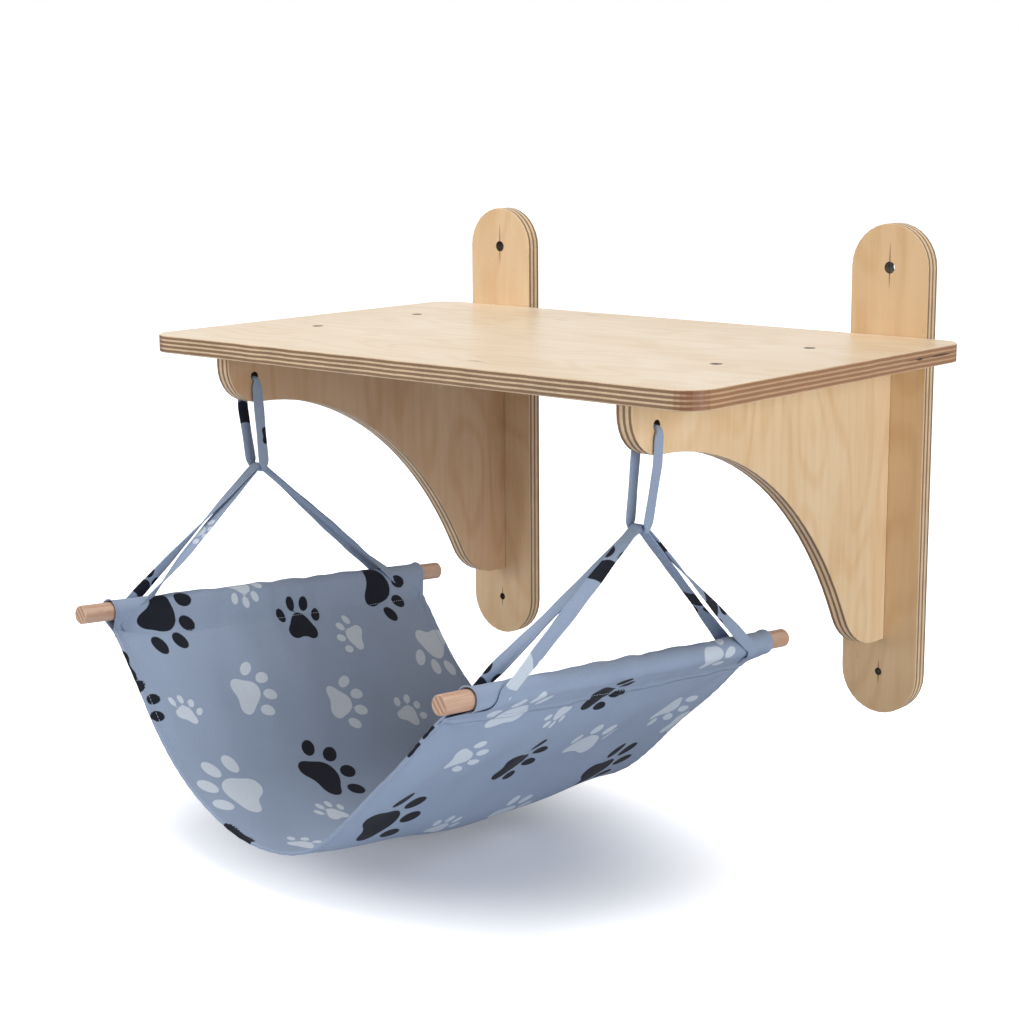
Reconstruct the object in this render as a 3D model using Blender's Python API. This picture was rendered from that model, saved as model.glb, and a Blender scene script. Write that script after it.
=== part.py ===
"""Cat wall shelf: a plywood shelf on two planks and two brackets, with a cloth hammock slung under it.

Frame: the origin lies on the wall plane, midway between the planks, at the height of the shelf's top.
+X runs along the wall, +Y points into the wall and +Z is up. Lengths are in metres.
The hammock is modelled in its own frame, whose origin is the joint where its slings hang in the loops.
Inside the straps' functions u is the distance from a bracket's middle plane towards the hammock.
"""

import math

import bmesh
import bpy
from mathutils import Matrix, Vector

MM = 0.001

# Plywood and how it is finished
PLY = 18.0 * MM
EDGE_EASE = 1.0 * MM
SEAT_GAP = 0.3 * MM

# Shelf board
SHELF_WIDTH = 700.0 * MM
SHELF_DEPTH = 450.0 * MM
SHELF_CORNER = 28.0 * MM

# Wall planks
PLANK_INSET = 90.0 * MM
PLANK_WIDTH = 88.0 * MM
PLANK_RISE = 112.0 * MM
PLANK_DROP = 394.0 * MM
WALL_HOLE_UPPER = 12.0 * MM
WALL_HOLE_LOWER = 8.0 * MM

# Brackets: nose, elliptical arch and rounded foot
BRACKET_SHIFT = 3.5 * MM
BRACKET_SETBACK = 25.0 * MM
BRACKET_HEIGHT = 296.0 * MM
NOSE_RADIUS = 40.0 * MM
NOSE_DROP = 12.0 * MM
NOSE_FLAT = 3.0 * MM
ARCH_HALF_HEIGHT = 439.0 * MM
FOOT_RADIUS = 62.0 * MM
FOOT_FLAT = 18.0 * MM

# Wood screws, with 90 degree countersunk heads
SCREW_HEAD = 9.6 * MM
SCREW_SHANK = 4.5 * MM
SCREW_LENGTH = 45.0 * MM
SCREW_RIM = 0.4 * MM
SCREW_TIP = 6.0 * MM
COUNTERSINK = 12.0 * MM
RECESS_WIDTH = 1.3 * MM
RECESS_SPAN = 5.0 * MM
RECESS_DEPTH = 2.0 * MM
SHELF_SCREW_BACK = {"front": 135.0 * MM, "rear": 288.0 * MM}
PLANK_SCREW_DROP = {"upper": 52.0 * MM, "lower": 242.0 * MM}

# Straps, sewn from the hammock's cloth
STRAP_WIDTH = 13.0 * MM
STRAP_THICKNESS = 1.4 * MM
STRAP_BUNCH = 2.6 * MM
STRAP_FLATTENS = 13.0 * MM
STRAP_SQUARENESS = 5.0
STRAP_HOLE = 10.0 * MM
STRAP_HOLE_BACK = 35.0 * MM
STRAP_HOLE_DROP = 25.0 * MM
LOOP_LENGTH = 96.2 * MM
LOOP_CORNER = 3.2 * MM
LOOP_KNEE_RADIUS = 14.0 * MM
LOOP_KNEE_BELOW_NOSE = 8.0 * MM
LOOP_FACE_CLEARANCE = 0.5 * MM
PLY_CLEARANCE = 0.5 * MM

# Dowels
DOWEL_DIAMETER = 18.0 * MM
DOWEL_LENGTH = 500.0 * MM
DOWEL_INWARDS = 24.6 * MM
DOWEL_CHAMFER = 1.0 * MM

# Hammock cloth: sleeves, bed and slings
HAMMOCK_PITCH = math.radians(5.08)
HAMMOCK_SETBACK = 15.0 * MM
SLING_HEIGHT = 128.5 * MM
CLOTH = 1.2 * MM
SLEEVE_LENGTH = 432.0 * MM
SLEEVE_TIP = 30.0 * MM
SLEEVE_TIP_ANGLE = math.radians(-50.0)
SLING_SEWN_INSET = 11.0 * MM
SLING_SEWN_RISE = 7.0 * MM
BED_SAG = 180.0 * MM
BED_WAIST = 160.0 * MM
BED_BELLY = 7.0 * MM
FOLD_DEPTH = 2.2 * MM
FOLD_PITCH = 62.0 * MM
FOLD_REACH = 70.0 * MM

# Facets
CORNER_STEPS = 8
ARC_STEPS = 16
ARCH_STEPS = 22
ROUND_SIDES = 24
SCREW_SIDES = 16
STRAP_SIDES = 10
BED_STEPS_ACROSS = 36
BED_STEPS_ALONG = 14
EASE_SEGMENTS = 2
SMOOTH_ANGLE = math.radians(35.0)
WELD = 0.01 * MM

# Places worked out from the sizes above
PLANK_X = SHELF_WIDTH / 2 - PLANK_INSET
PLANK_FRONT = -PLY
SHELF_FRONT = PLANK_FRONT - SHELF_DEPTH
SHELF_BOTTOM = -PLY
BRACKET_FRONT = SHELF_FRONT + BRACKET_SETBACK
BRACKET_REAR = PLANK_FRONT - SEAT_GAP
BRACKET_TOP = SHELF_BOTTOM - SEAT_GAP
BRACKET_BOTTOM = SHELF_BOTTOM - BRACKET_HEIGHT
NOSE_BOTTOM = SHELF_BOTTOM - NOSE_DROP - NOSE_RADIUS
STRAP_HOLE_Y = BRACKET_FRONT + STRAP_HOLE_BACK
STRAP_HOLE_Z = SHELF_BOTTOM - STRAP_HOLE_DROP
JUNCTION_Z = STRAP_HOLE_Z - LOOP_LENGTH
DOWEL_U = DOWEL_INWARDS
JUNCTION_U = DOWEL_U * LOOP_LENGTH / (LOOP_LENGTH + SLING_HEIGHT * math.cos(HAMMOCK_PITCH))
SLEEVE_INSIDE = DOWEL_DIAMETER / 2 + SEAT_GAP
SLEEVE_OUTSIDE = SLEEVE_INSIDE + CLOTH
FLANK_ANGLE = math.acos(SLEEVE_OUTSIDE / SLEEVE_TIP)
PLY_OFFSET = SEAT_GAP + STRAP_THICKNESS / 2
INNER_RING = STRAP_BUNCH + PLY_OFFSET
OUTER_RING = INNER_RING + STRAP_THICKNESS + PLY_CLEARANCE


def clear_scene():
    """Remove every object of the open scene."""
    for scene_object in list(bpy.data.objects):
        bpy.data.objects.remove(scene_object, do_unlink=True)


def make_material(name, colour, roughness, metallic=0.0):
    """Return a Principled material; colour is linear red, green and blue."""
    material = bpy.data.materials.new(name)
    material.use_nodes = True
    shader = material.node_tree.nodes["Principled BSDF"]
    shader.inputs["Base Color"].default_value = (*colour, 1.0)
    shader.inputs["Roughness"].default_value = roughness
    shader.inputs["Metallic"].default_value = metallic
    material.diffuse_color = (*colour, 1.0)
    return material


def add_object(name, mesh_builder, material, parent=None, location=(0.0, 0.0, 0.0)):
    """Turn a bmesh into a named object of the scene, shaded smooth up to its sharp edges."""
    bmesh.ops.recalc_face_normals(mesh_builder, faces=mesh_builder.faces)
    mesh = bpy.data.meshes.new(name)
    mesh_builder.to_mesh(mesh)
    mesh_builder.free()
    mesh.shade_smooth()
    mesh.set_sharp_from_angle(angle=SMOOTH_ANGLE)
    mesh.materials.append(material)
    new_object = bpy.data.objects.new(name, mesh)
    new_object.location = location
    new_object.parent = parent
    bpy.context.scene.collection.objects.link(new_object)
    return new_object


def add_pivot(name, location, turn=0.0):
    """Add an empty on a joint's axis, turned about X."""
    pivot = bpy.data.objects.new(name, None)
    pivot.location = location
    pivot.rotation_euler = (turn, 0.0, 0.0)
    bpy.context.scene.collection.objects.link(pivot)
    return pivot


def arc(centre, radius, start, end, steps):
    """Points on an arc in a plane, from the angle start to the angle end."""
    turns = [start + (end - start) * step / steps for step in range(steps + 1)]
    return [(centre[0] + radius * math.cos(a), centre[1] + radius * math.sin(a)) for a in turns]


def extruded(outline, thickness, placement):
    """A plate: the outline pulled up by its thickness, then put in its place."""
    plate = bmesh.new()
    face = plate.faces.new([plate.verts.new((a, b, 0.0)) for a, b in outline])
    pulled = bmesh.ops.extrude_face_region(plate, geom=[face])["geom"]
    risen = [part for part in pulled if isinstance(part, bmesh.types.BMVert)]
    bmesh.ops.translate(plate, verts=risen, vec=(0.0, 0.0, thickness))
    bmesh.ops.transform(plate, matrix=placement, verts=plate.verts)
    return plate


def ease_edges(plate):
    """Round over a plate's sharp edges, as sanding does."""
    bevel = plate.modifiers.new("eased edges", "BEVEL")
    bevel.width = EDGE_EASE
    bevel.segments = EASE_SEGMENTS
    bevel.limit_method = "ANGLE"
    bevel.angle_limit = SMOOTH_ANGLE


def turned(profile, sides, placement):
    """A profile of (radius, height) points, turned about Z and then put in its place."""
    body = bmesh.new()
    points = [body.verts.new((radius, 0.0, height)) for radius, height in profile]
    edges = [body.edges.new(pair) for pair in zip(points, points[1:])]
    bmesh.ops.spin(body, geom=points + edges, cent=(0, 0, 0), axis=(0, 0, 1), angle=math.tau, steps=sides)
    bmesh.ops.remove_doubles(body, verts=body.verts, dist=WELD)
    bmesh.ops.transform(body, matrix=placement, verts=body.verts)
    return body


def cut(target, cutter_builder, name):
    """Cut a closed mesh out of an object, keeping the cutter as a hidden guide."""
    cutter = add_object(name, cutter_builder, target.data.materials[0])
    cutter.hide_render = True
    cutter.display_type = "WIRE"
    boolean = target.modifiers.new(name, "BOOLEAN")
    boolean.operation = "DIFFERENCE"
    boolean.object = cutter
    boolean.solver = "EXACT"


def drill(diameter, placement):
    """A closed round cutter that runs past both faces of a sheet of plywood."""
    reach = PLY + 2 * EDGE_EASE
    radius = diameter / 2
    profile = [(0.0, reach), (radius, reach), (radius, -reach), (0.0, -reach)]
    return turned(profile, ROUND_SIDES, placement)


def shelf_outline():
    """The board seen from above, with rounded corners."""
    half = SHELF_WIDTH / 2 - SHELF_CORNER
    near = SHELF_FRONT + SHELF_CORNER
    far = PLANK_FRONT - SEAT_GAP - SHELF_CORNER
    corners = [(half, far, 0.0), (-half, far, 0.25), (-half, near, 0.5), (half, near, 0.75)]
    outline = []
    for x, y, turn in corners:
        start = turn * math.tau
        outline += arc((x, y), SHELF_CORNER, start, start + math.pi / 2, CORNER_STEPS)
    return outline


def plank_outline(x):
    """A wall plank seen from the front, with full-round ends."""
    radius = PLANK_WIDTH / 2
    outline = arc((x, PLANK_RISE - radius), radius, 0.0, math.pi, ARC_STEPS)
    return outline + arc((x, radius - PLANK_DROP), radius, math.pi, math.tau, ARC_STEPS)


def ellipse_reach(point, half_width, half_height):
    """Least distance from a point to an ellipse about the origin, and the point's angle on it."""
    low, high = 0.0, math.pi / 2

    def gap(angle):
        x = half_width * math.sin(angle)
        z = half_height * math.cos(angle)
        return math.hypot(point[0] - x, point[1] - z)

    for _ in range(60):
        third = (high - low) / 3
        if gap(low + third) < gap(high - third):
            high -= third
        else:
            low += third
    return gap(low), low


def bracket_outline():
    """A bracket seen from the right: nose, flat, quarter-ellipse arch, rounded foot and rear edge."""
    nose = (BRACKET_FRONT + NOSE_RADIUS, SHELF_BOTTOM - NOSE_DROP)
    crown = (nose[0] + NOSE_FLAT, NOSE_BOTTOM)
    foot = (BRACKET_REAR - FOOT_FLAT, BRACKET_BOTTOM + FOOT_RADIUS)
    middle = (crown[0], crown[1] - ARCH_HALF_HEIGHT)
    offset = (foot[0] - middle[0], foot[1] - middle[1])
    low, high = offset[0] / 2, 2 * offset[0]
    for _ in range(60):
        half_width = (low + high) / 2
        if ellipse_reach(offset, half_width, ARCH_HALF_HEIGHT)[0] > FOOT_RADIUS:
            low = half_width
        else:
            high = half_width
    touch = ellipse_reach(offset, half_width, ARCH_HALF_HEIGHT)[1]
    outline = arc(nose, NOSE_RADIUS, math.pi, 1.5 * math.pi, CORNER_STEPS)
    for step in range(ARCH_STEPS):
        angle = touch * step / ARCH_STEPS
        outline.append((middle[0] + half_width * math.sin(angle),
                        middle[1] + ARCH_HALF_HEIGHT * math.cos(angle)))
    contact = (half_width * math.sin(touch), ARCH_HALF_HEIGHT * math.cos(touch))
    start = math.atan2(contact[1] - offset[1], contact[0] - offset[0]) % math.tau
    outline += arc(foot, FOOT_RADIUS, start, 1.5 * math.pi, CORNER_STEPS)
    outline += [(BRACKET_REAR, BRACKET_BOTTOM), (BRACKET_REAR, BRACKET_TOP), (BRACKET_FRONT, BRACKET_TOP)]
    return outline


def screw_head_depth():
    """How far a head's top lies under the surface when the head sits in its countersink."""
    return (COUNTERSINK - SCREW_HEAD) / 2 - SEAT_GAP * math.sqrt(2)


def screw_profile():
    """Half the section of a wood screw, its head's top at its sunk depth and its tip down."""
    head, shank = SCREW_HEAD / 2, SCREW_SHANK / 2
    top = -screw_head_depth()
    under = top - SCREW_RIM
    tip = top - SCREW_LENGTH
    return [(0.0, top), (head, top), (head, under), (shank, under - (head - shank)),
            (shank, tip + SCREW_TIP), (0.0, tip)]


def screw_hole_profile():
    """Half the section of a screw's countersunk hole, a seat gap clear of the screw."""
    mouth, shank = COUNTERSINK / 2 + EDGE_EASE, SCREW_SHANK / 2 + SEAT_GAP
    bottom = -screw_head_depth() - SCREW_RIM - SCREW_LENGTH - SEAT_GAP
    rim = -SCREW_RIM
    return [(0.0, EDGE_EASE), (mouth, EDGE_EASE), (shank, rim + shank - COUNTERSINK / 2),
            (shank, bottom), (0.0, bottom)]


def recess_outline():
    """The cross that a driver fits, in the plane of a screw's head."""
    arm, wide = RECESS_SPAN / 2, RECESS_WIDTH / 2
    quarter = [(arm, -wide), (arm, wide), (wide, wide)]
    outline = []
    for turn in range(4):
        c, s = math.cos(turn * math.pi / 2), math.sin(turn * math.pi / 2)
        outline += [(a * c - b * s, a * s + b * c) for a, b in quarter]
    return outline


def add_screw(name, placement, steel, bored):
    """A countersunk wood screw with its recess, and its hole through each piece in bored."""
    screw = add_object(name, turned(screw_profile(), SCREW_SIDES, placement), steel)
    sunk = Matrix.Translation((0.0, 0.0, -screw_head_depth() - RECESS_DEPTH))
    cross = extruded(recess_outline(), 2 * RECESS_DEPTH, placement @ sunk)
    cut(screw, cross, name + " recess")
    for piece in bored:
        hole = turned(screw_hole_profile(), SCREW_SIDES, placement)
        cut(piece, hole, f"{name} hole in {piece.name}")


def side_sign(side):
    """-1 for the left side and +1 for the right."""
    return -1.0 if side == "left" else 1.0


def bracket_x(side):
    """The middle plane of a side's bracket."""
    return side_sign(side) * PLANK_X - BRACKET_SHIFT


def add_woodwork(plywood, steel):
    """The shelf board, wall planks and brackets, with the screws that hold them together."""
    rise = Matrix.Translation((0.0, 0.0, SHELF_BOTTOM))
    shelf = add_object("shelf_board", extruded(shelf_outline(), PLY, rise), plywood)
    ease_edges(shelf)
    for side in ("left", "right"):
        x = side_sign(side) * PLANK_X
        upright = Matrix.Rotation(math.pi / 2, 4, "X")
        plank = add_object(side + "_wall_plank", extruded(plank_outline(x), PLY, upright), plywood)
        ease_edges(plank)
        end_radius = PLANK_WIDTH / 2
        holes = [("upper", WALL_HOLE_UPPER, PLANK_RISE - end_radius),
                 ("lower", WALL_HOLE_LOWER, end_radius - PLANK_DROP)]
        for level, diameter, z in holes:
            place = Matrix.Translation((x, PLANK_FRONT / 2, z)) @ upright
            cut(plank, drill(diameter, place), f"{side} {level} wall hole")

        middle = bracket_x(side)
        sideways = Matrix(((0, 0, 1, middle - PLY / 2), (1, 0, 0, 0), (0, 1, 0, 0), (0, 0, 0, 1)))
        bracket = add_object(side + "_bracket", extruded(bracket_outline(), PLY, sideways), plywood)
        ease_edges(bracket)
        strap_hole = Matrix.Translation((middle, STRAP_HOLE_Y, STRAP_HOLE_Z))
        across = strap_hole @ Matrix.Rotation(math.pi / 2, 4, "Y")
        cut(bracket, drill(STRAP_HOLE, across), side + " strap hole")

        for end, back in SHELF_SCREW_BACK.items():
            down = Matrix.Translation((middle, BRACKET_FRONT + back, 0.0))
            add_screw(f"{side}_shelf_screw_{end}", down, steel, (shelf, bracket))
        for end, drop in PLANK_SCREW_DROP.items():
            from_wall = Matrix.Translation((middle, 0.0, SHELF_BOTTOM - drop))
            forwards = from_wall @ Matrix.Rotation(-math.pi / 2, 4, "X")
            add_screw(f"{side}_plank_screw_{end}", forwards, steel, (plank, bracket))


def strap_section(centre, along, outward, half_width, half_thickness, squareness):
    """A ring of points round a strap: an oval that squares up as the strap flattens."""
    along = along.normalized()
    outward = (outward - along * outward.dot(along)).normalized()
    across = along.cross(outward)
    ring = []
    for index in range(STRAP_SIDES):
        angle = math.tau * index / STRAP_SIDES
        c, s = math.cos(angle), math.sin(angle)
        a = half_width * math.copysign(abs(c) ** (2 / squareness), c)
        b = half_thickness * math.copysign(abs(s) ** (2 / squareness), s)
        ring.append(centre + across * a + outward * b)
    return ring


def lofted(rings, closed=False):
    """A skin through rings of points, capped at its ends or closed on itself."""
    skin = bmesh.new()
    loops = [[skin.verts.new(point) for point in ring] for ring in rings]
    pairs = list(zip(loops, loops[1:]))
    if closed:
        pairs.append((loops[-1], loops[0]))
    else:
        skin.faces.new(loops[0])
        skin.faces.new(loops[-1])
    for first, second in pairs:
        for index in range(len(first)):
            after = (index + 1) % len(first)
            skin.faces.new((first[index], first[after], second[after], second[index]))
    return skin


def rounded_loop(corners, step):
    """Points round a closed outline of (u, z, corner radius) corners, with its bends as arcs."""
    points = []
    count = len(corners)
    for index, (u, z, radius) in enumerate(corners):
        here = Vector((u, z))
        before = Vector(corners[index - 1][:2])
        after = Vector(corners[(index + 1) % count][:2])
        back, ahead = (before - here).normalized(), (after - here).normalized()
        half = back.angle(ahead) / 2
        reach = radius / math.tan(half)
        centre = here + (back + ahead).normalized() * (radius / math.sin(half))
        first, last = here + back * reach, here + ahead * reach
        start = math.atan2(first.y - centre.y, first.x - centre.x)
        bend = math.pi - 2 * half
        if (first - centre).cross(last - centre) < 0:
            bend = -bend
        steps = max(2, round(abs(bend) / step))
        points += arc(centre, radius, start, start + bend, steps)
    return points


def loop_rings(side):
    """Rings of a hanging loop about its hole's axis: through the bracket, down and round the slings."""
    hole_sag = STRAP_HOLE / 2 - STRAP_BUNCH - SEAT_GAP
    top_half = PLY / 2 + SEAT_GAP + STRAP_BUNCH
    foot_half = STRAP_WIDTH / 2 + LOOP_FACE_CLEARANCE + STRAP_BUNCH
    knee_u = PLY / 2 + LOOP_FACE_CLEARANCE + STRAP_THICKNESS / 2
    knee_z = NOSE_BOTTOM - LOOP_KNEE_BELOW_NOSE - STRAP_HOLE_Z
    corners = [
        (-top_half, -hole_sag, LOOP_CORNER),
        (top_half, -hole_sag, LOOP_CORNER),
        (JUNCTION_U + foot_half, -LOOP_LENGTH, LOOP_CORNER),
        (JUNCTION_U - foot_half, -LOOP_LENGTH, LOOP_CORNER),
        (-knee_u, knee_z, LOOP_KNEE_RADIUS),
    ]
    path = spaced(rounded_loop(corners, math.radians(22.5)), STRAP_WIDTH)
    rings = []
    for index, (u, z) in enumerate(path):
        before, after = path[index - 1], path[(index + 1) % len(path)]
        along = Vector((after[0] - before[0], 0.0, after[1] - before[1]))
        outward = Vector((along.z, 0.0, -along.x))
        from_bar = min(-hole_sag - z, z + LOOP_LENGTH)
        flat = smooth_step(from_bar / STRAP_FLATTENS)
        half_width = STRAP_BUNCH + (STRAP_WIDTH / 2 - STRAP_BUNCH) * flat
        half_thickness = STRAP_BUNCH + (STRAP_THICKNESS / 2 - STRAP_BUNCH) * flat
        squareness = 2 + (STRAP_SQUARENESS - 2) * flat
        ring = strap_section(Vector((u, 0.0, z)), along, outward, half_width, half_thickness, squareness)
        rings.append([Vector((-side_sign(side) * point.x, point.y, point.z)) for point in ring])
    return rings


def spaced(path, longest):
    """The closed path with its long straight stretches divided, closely near their ends."""
    out = []
    for here, there in zip(path, path[1:] + path[:1]):
        run = math.dist(here, there)
        out.append(here)
        if run > longest / 2:
            pieces = max(4, 2 * math.ceil(run / longest))
            for step in range(1, pieces):
                share = (1 - math.cos(math.pi * step / pieces)) / 2
                out.append((here[0] + (there[0] - here[0]) * share, here[1] + (there[1] - here[1]) * share))
    return out


def smooth_step(share):
    """Ease from 0 to 1 as share goes from 0 to 1."""
    share = min(1.0, max(0.0, share))
    return share * share * (3 - 2 * share)


def add_loop(side, cloth):
    """A side's hanging loop, its origin on the axis of the bracket's strap hole."""
    hinge = (bracket_x(side), STRAP_HOLE_Y, STRAP_HOLE_Z)
    return add_object(side + "_hanging_loop", lofted(loop_rings(side), closed=True), cloth, location=hinge)


def polar(angle):
    """Unit vector at an angle in the plane across the dowels."""
    return Vector((math.cos(angle), 0.0, math.sin(angle)))


def ring_point(radius, angle):
    """A point on a sling's ring about the loop's foot."""
    return Vector((JUNCTION_U, radius * math.cos(angle), radius * math.sin(angle)))


def ring_contact(radius, anchor, front):
    """The angle at which a straight run to the anchor leaves a sling's ring."""
    distance = math.hypot(anchor.y, anchor.z)
    bearing = math.atan2(anchor.z, anchor.y) % math.tau
    swing = math.acos(radius / distance)
    return bearing - swing if front else bearing + swing - math.tau


def turn_between(first, second, along, share):
    """A normal turned about the run from the first towards the second."""
    along = along.normalized()
    first = (first - along * first.dot(along)).normalized()
    second = (second - along * second.dot(along)).normalized()
    angle = math.atan2(first.cross(second).dot(along), first.dot(second))
    return Matrix.Rotation(angle * share, 3, along) @ first


def inner_leg(front):
    """Centres and normals of an inner ply from its sewn end, over the sleeve's inner flank, to its ring."""
    dowel = Vector((DOWEL_U, 0.0, -SLING_HEIGHT))
    normal = polar(SLEEVE_TIP_ANGLE + FLANK_ANGLE)
    up_flank = polar(SLEEVE_TIP_ANGLE + FLANK_ANGLE + math.pi / 2)
    sewn = dowel + polar(SLEEVE_TIP_ANGLE) * SLEEVE_TIP + up_flank * SLING_SEWN_RISE + normal * PLY_OFFSET
    sewn.y = sewn_place(front)
    contact = ring_contact(INNER_RING, sewn, front)
    end = ring_point(INNER_RING, contact)
    return flight(sewn, -normal, end, contact), contact


def outer_leg(front):
    """Centres and normals of an outer ply: up the under flank, round the sleeve's outside, to its ring.

    Its straight run lies beside the inner ply's, so both leave the loop at the same angle.
    """
    dowel = Vector((DOWEL_U, 0.0, -SLING_HEIGHT))
    wrap = SLEEVE_OUTSIDE + PLY_OFFSET
    flank = math.sqrt(SLEEVE_TIP ** 2 - SLEEVE_OUTSIDE ** 2) - SLING_SEWN_RISE
    under = SLEEVE_TIP_ANGLE - FLANK_ANGLE
    contact = inner_leg(front)[1]
    end = ring_point(OUTER_RING, contact)
    reach = end - Vector((dowel.x, end.y, dowel.z))
    leaving = math.atan2(reach.z, reach.x) + math.acos(wrap / reach.length) - math.tau
    land = dowel + polar(leaving) * wrap
    land.y = end.y + (end.z - land.z) * math.tan(contact)
    slope = (land.y - sewn_place(front)) / (flank + wrap * (under - leaving))
    tangent = dowel + polar(under) * wrap
    down_flank = polar(under + math.pi / 2)
    leg = []
    for step in range(3):
        left = flank * (1 - step / 3)
        point = tangent + down_flank * left
        point.y = sewn_place(front) + slope * (flank - left)
        leg.append((point, polar(under)))
    for step in range(CORNER_STEPS):
        angle = under + (leaving - under) * step / CORNER_STEPS
        point = dowel + polar(angle) * wrap
        point.y = sewn_place(front) + slope * (flank + wrap * (under - angle))
        leg.append((point, polar(angle)))
    return leg + flight(land, polar(leaving), end, contact), contact


def sewn_place(front):
    """Where along the dowel a sling is sewn in."""
    half = SLEEVE_LENGTH / 2 - SLING_SEWN_INSET
    return HAMMOCK_SETBACK - half if front else HAMMOCK_SETBACK + half


def flight(start, start_normal, end, contact, steps=12):
    """A strap's straight run to its ring, its face turning evenly on the way."""
    along = end - start
    end_normal = Vector((0.0, math.cos(contact), math.sin(contact)))
    leg = []
    for step in range(steps):
        share = step / steps
        turn = smooth_step(share)
        leg.append((start + along * share, turn_between(start_normal, end_normal, along, turn)))
    return leg


def sling_rings(side, leg_maker, radius):
    """Rings of one ply, from the front sewn end over the loop's foot to the rear one."""
    front_leg, front_contact = leg_maker(True)
    rear_leg, rear_contact = leg_maker(False)
    crown = []
    for step in range(CORNER_STEPS + 1):
        angle = front_contact + (rear_contact - front_contact) * step / CORNER_STEPS
        crown.append((ring_point(radius, angle), Vector((0.0, math.cos(angle), math.sin(angle)))))
    path = front_leg + crown + rear_leg[::-1]
    rings = []
    for index, (centre, normal) in enumerate(path):
        before = path[max(0, index - 1)][0]
        after = path[min(len(path) - 1, index + 1)][0]
        ring = strap_section(centre, after - before, normal, STRAP_WIDTH / 2, STRAP_THICKNESS / 2,
                             STRAP_SQUARENESS)
        middle = bracket_x(side)
        rings.append([Vector((middle - side_sign(side) * point.x, point.y, point.z)) for point in ring])
    return rings


def sleeve(side):
    """A sleeve: the cloth turned round the dowel, drop-shaped, and closed at its seam."""
    middle = bracket_x(side) - side_sign(side) * DOWEL_U
    loops = []
    for radius in (SLEEVE_OUTSIDE, SLEEVE_INSIDE):
        start = SLEEVE_TIP_ANGLE + FLANK_ANGLE
        section = arc((0.0, 0.0), radius, start, SLEEVE_TIP_ANGLE - FLANK_ANGLE + math.tau, ROUND_SIDES)
        tip = radius / math.cos(FLANK_ANGLE)
        section.append((tip * math.cos(SLEEVE_TIP_ANGLE), tip * math.sin(SLEEVE_TIP_ANGLE)))
        loops.append(section)
    skin = bmesh.new()
    rims = []
    for y in (-SLEEVE_LENGTH / 2, SLEEVE_LENGTH / 2):
        for section in loops:
            rims.append([skin.verts.new((middle - side_sign(side) * a, HAMMOCK_SETBACK + y, b - SLING_HEIGHT))
                         for a, b in section])
    near_out, near_in, far_out, far_in = rims
    for first, second in ((near_out, far_out), (near_in, far_in), (near_out, near_in), (far_out, far_in)):
        for index in range(len(first)):
            after = (index + 1) % len(first)
            skin.faces.new((first[index], first[after], second[after], second[index]))
    return skin


def bed_height(across, along):
    """Height of the bed's cloth.

    across runs from -1 to 1 between the seams, and along from -1 to 1 from front to rear.
    """
    seam_u, seam_z = seam_place()
    half = PLANK_X - seam_u
    depth = BED_SAG + SLING_HEIGHT + seam_z
    curve = depth / (math.sqrt(1 + (half / BED_WAIST) ** 2) - 1)
    hang = curve * (math.sqrt(1 + (across * half / BED_WAIST) ** 2) - 1) - BED_SAG - SLING_HEIGHT
    fullness = math.cos(across * math.pi / 2)
    belly = BED_BELLY * fullness * (1 - along * along)
    to_seam = half * (1 - abs(across))
    ripple = smooth_step(to_seam / FOLD_REACH) * (1 - smooth_step(to_seam / FOLD_REACH - 0.8))
    wave = math.sin(math.tau * along * SLEEVE_LENGTH / 2 / FOLD_PITCH + across)
    drape = math.sin(math.pi * (1 - abs(along)) * 1.5) * fullness * (1 - abs(across))
    return hang - belly - FOLD_DEPTH * (ripple * wave - drape)


def seam_place():
    """Where the bed's cloth leaves a sleeve's seam: distance in from the bracket, and height."""
    reach = SLEEVE_TIP + SEAT_GAP
    return (DOWEL_U + reach * math.cos(SLEEVE_TIP_ANGLE), reach * math.sin(SLEEVE_TIP_ANGLE) - SLING_HEIGHT)


def add_bed(cloth, parent):
    """The hammock's bed: a sheet hung between the seams, thickened to its cloth."""
    half = PLANK_X - seam_place()[0]
    sheet = bmesh.new()
    rows = []
    for j in range(BED_STEPS_ALONG + 1):
        along = 2 * j / BED_STEPS_ALONG - 1
        row = []
        for i in range(BED_STEPS_ACROSS + 1):
            across = 2 * i / BED_STEPS_ACROSS - 1
            y = HAMMOCK_SETBACK + along * SLEEVE_LENGTH / 2
            row.append(sheet.verts.new((across * half - BRACKET_SHIFT, y, bed_height(across, along))))
        rows.append(row)
    for near, far in zip(rows, rows[1:]):
        for i in range(BED_STEPS_ACROSS):
            sheet.faces.new((near[i], near[i + 1], far[i + 1], far[i]))
    bed = add_object("hammock_bed", sheet, cloth, parent=parent)
    thickness = bed.modifiers.new("cloth thickness", "SOLIDIFY")
    thickness.thickness = CLOTH
    thickness.offset = 0.0
    return bed


def add_dowel(side, wood, parent):
    """A dowel with chamfered ends, its origin on its own axis."""
    radius, half = DOWEL_DIAMETER / 2, DOWEL_LENGTH / 2
    profile = [(0.0, half), (radius - DOWEL_CHAMFER, half), (radius, half - DOWEL_CHAMFER),
               (radius, DOWEL_CHAMFER - half), (radius - DOWEL_CHAMFER, -half), (0.0, -half)]
    lying = Matrix.Rotation(math.pi / 2, 4, "X")
    place = (bracket_x(side) - side_sign(side) * DOWEL_U, HAMMOCK_SETBACK, -SLING_HEIGHT)
    return add_object(side + "_dowel", turned(profile, ROUND_SIDES, lying), wood, parent, place)


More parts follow.
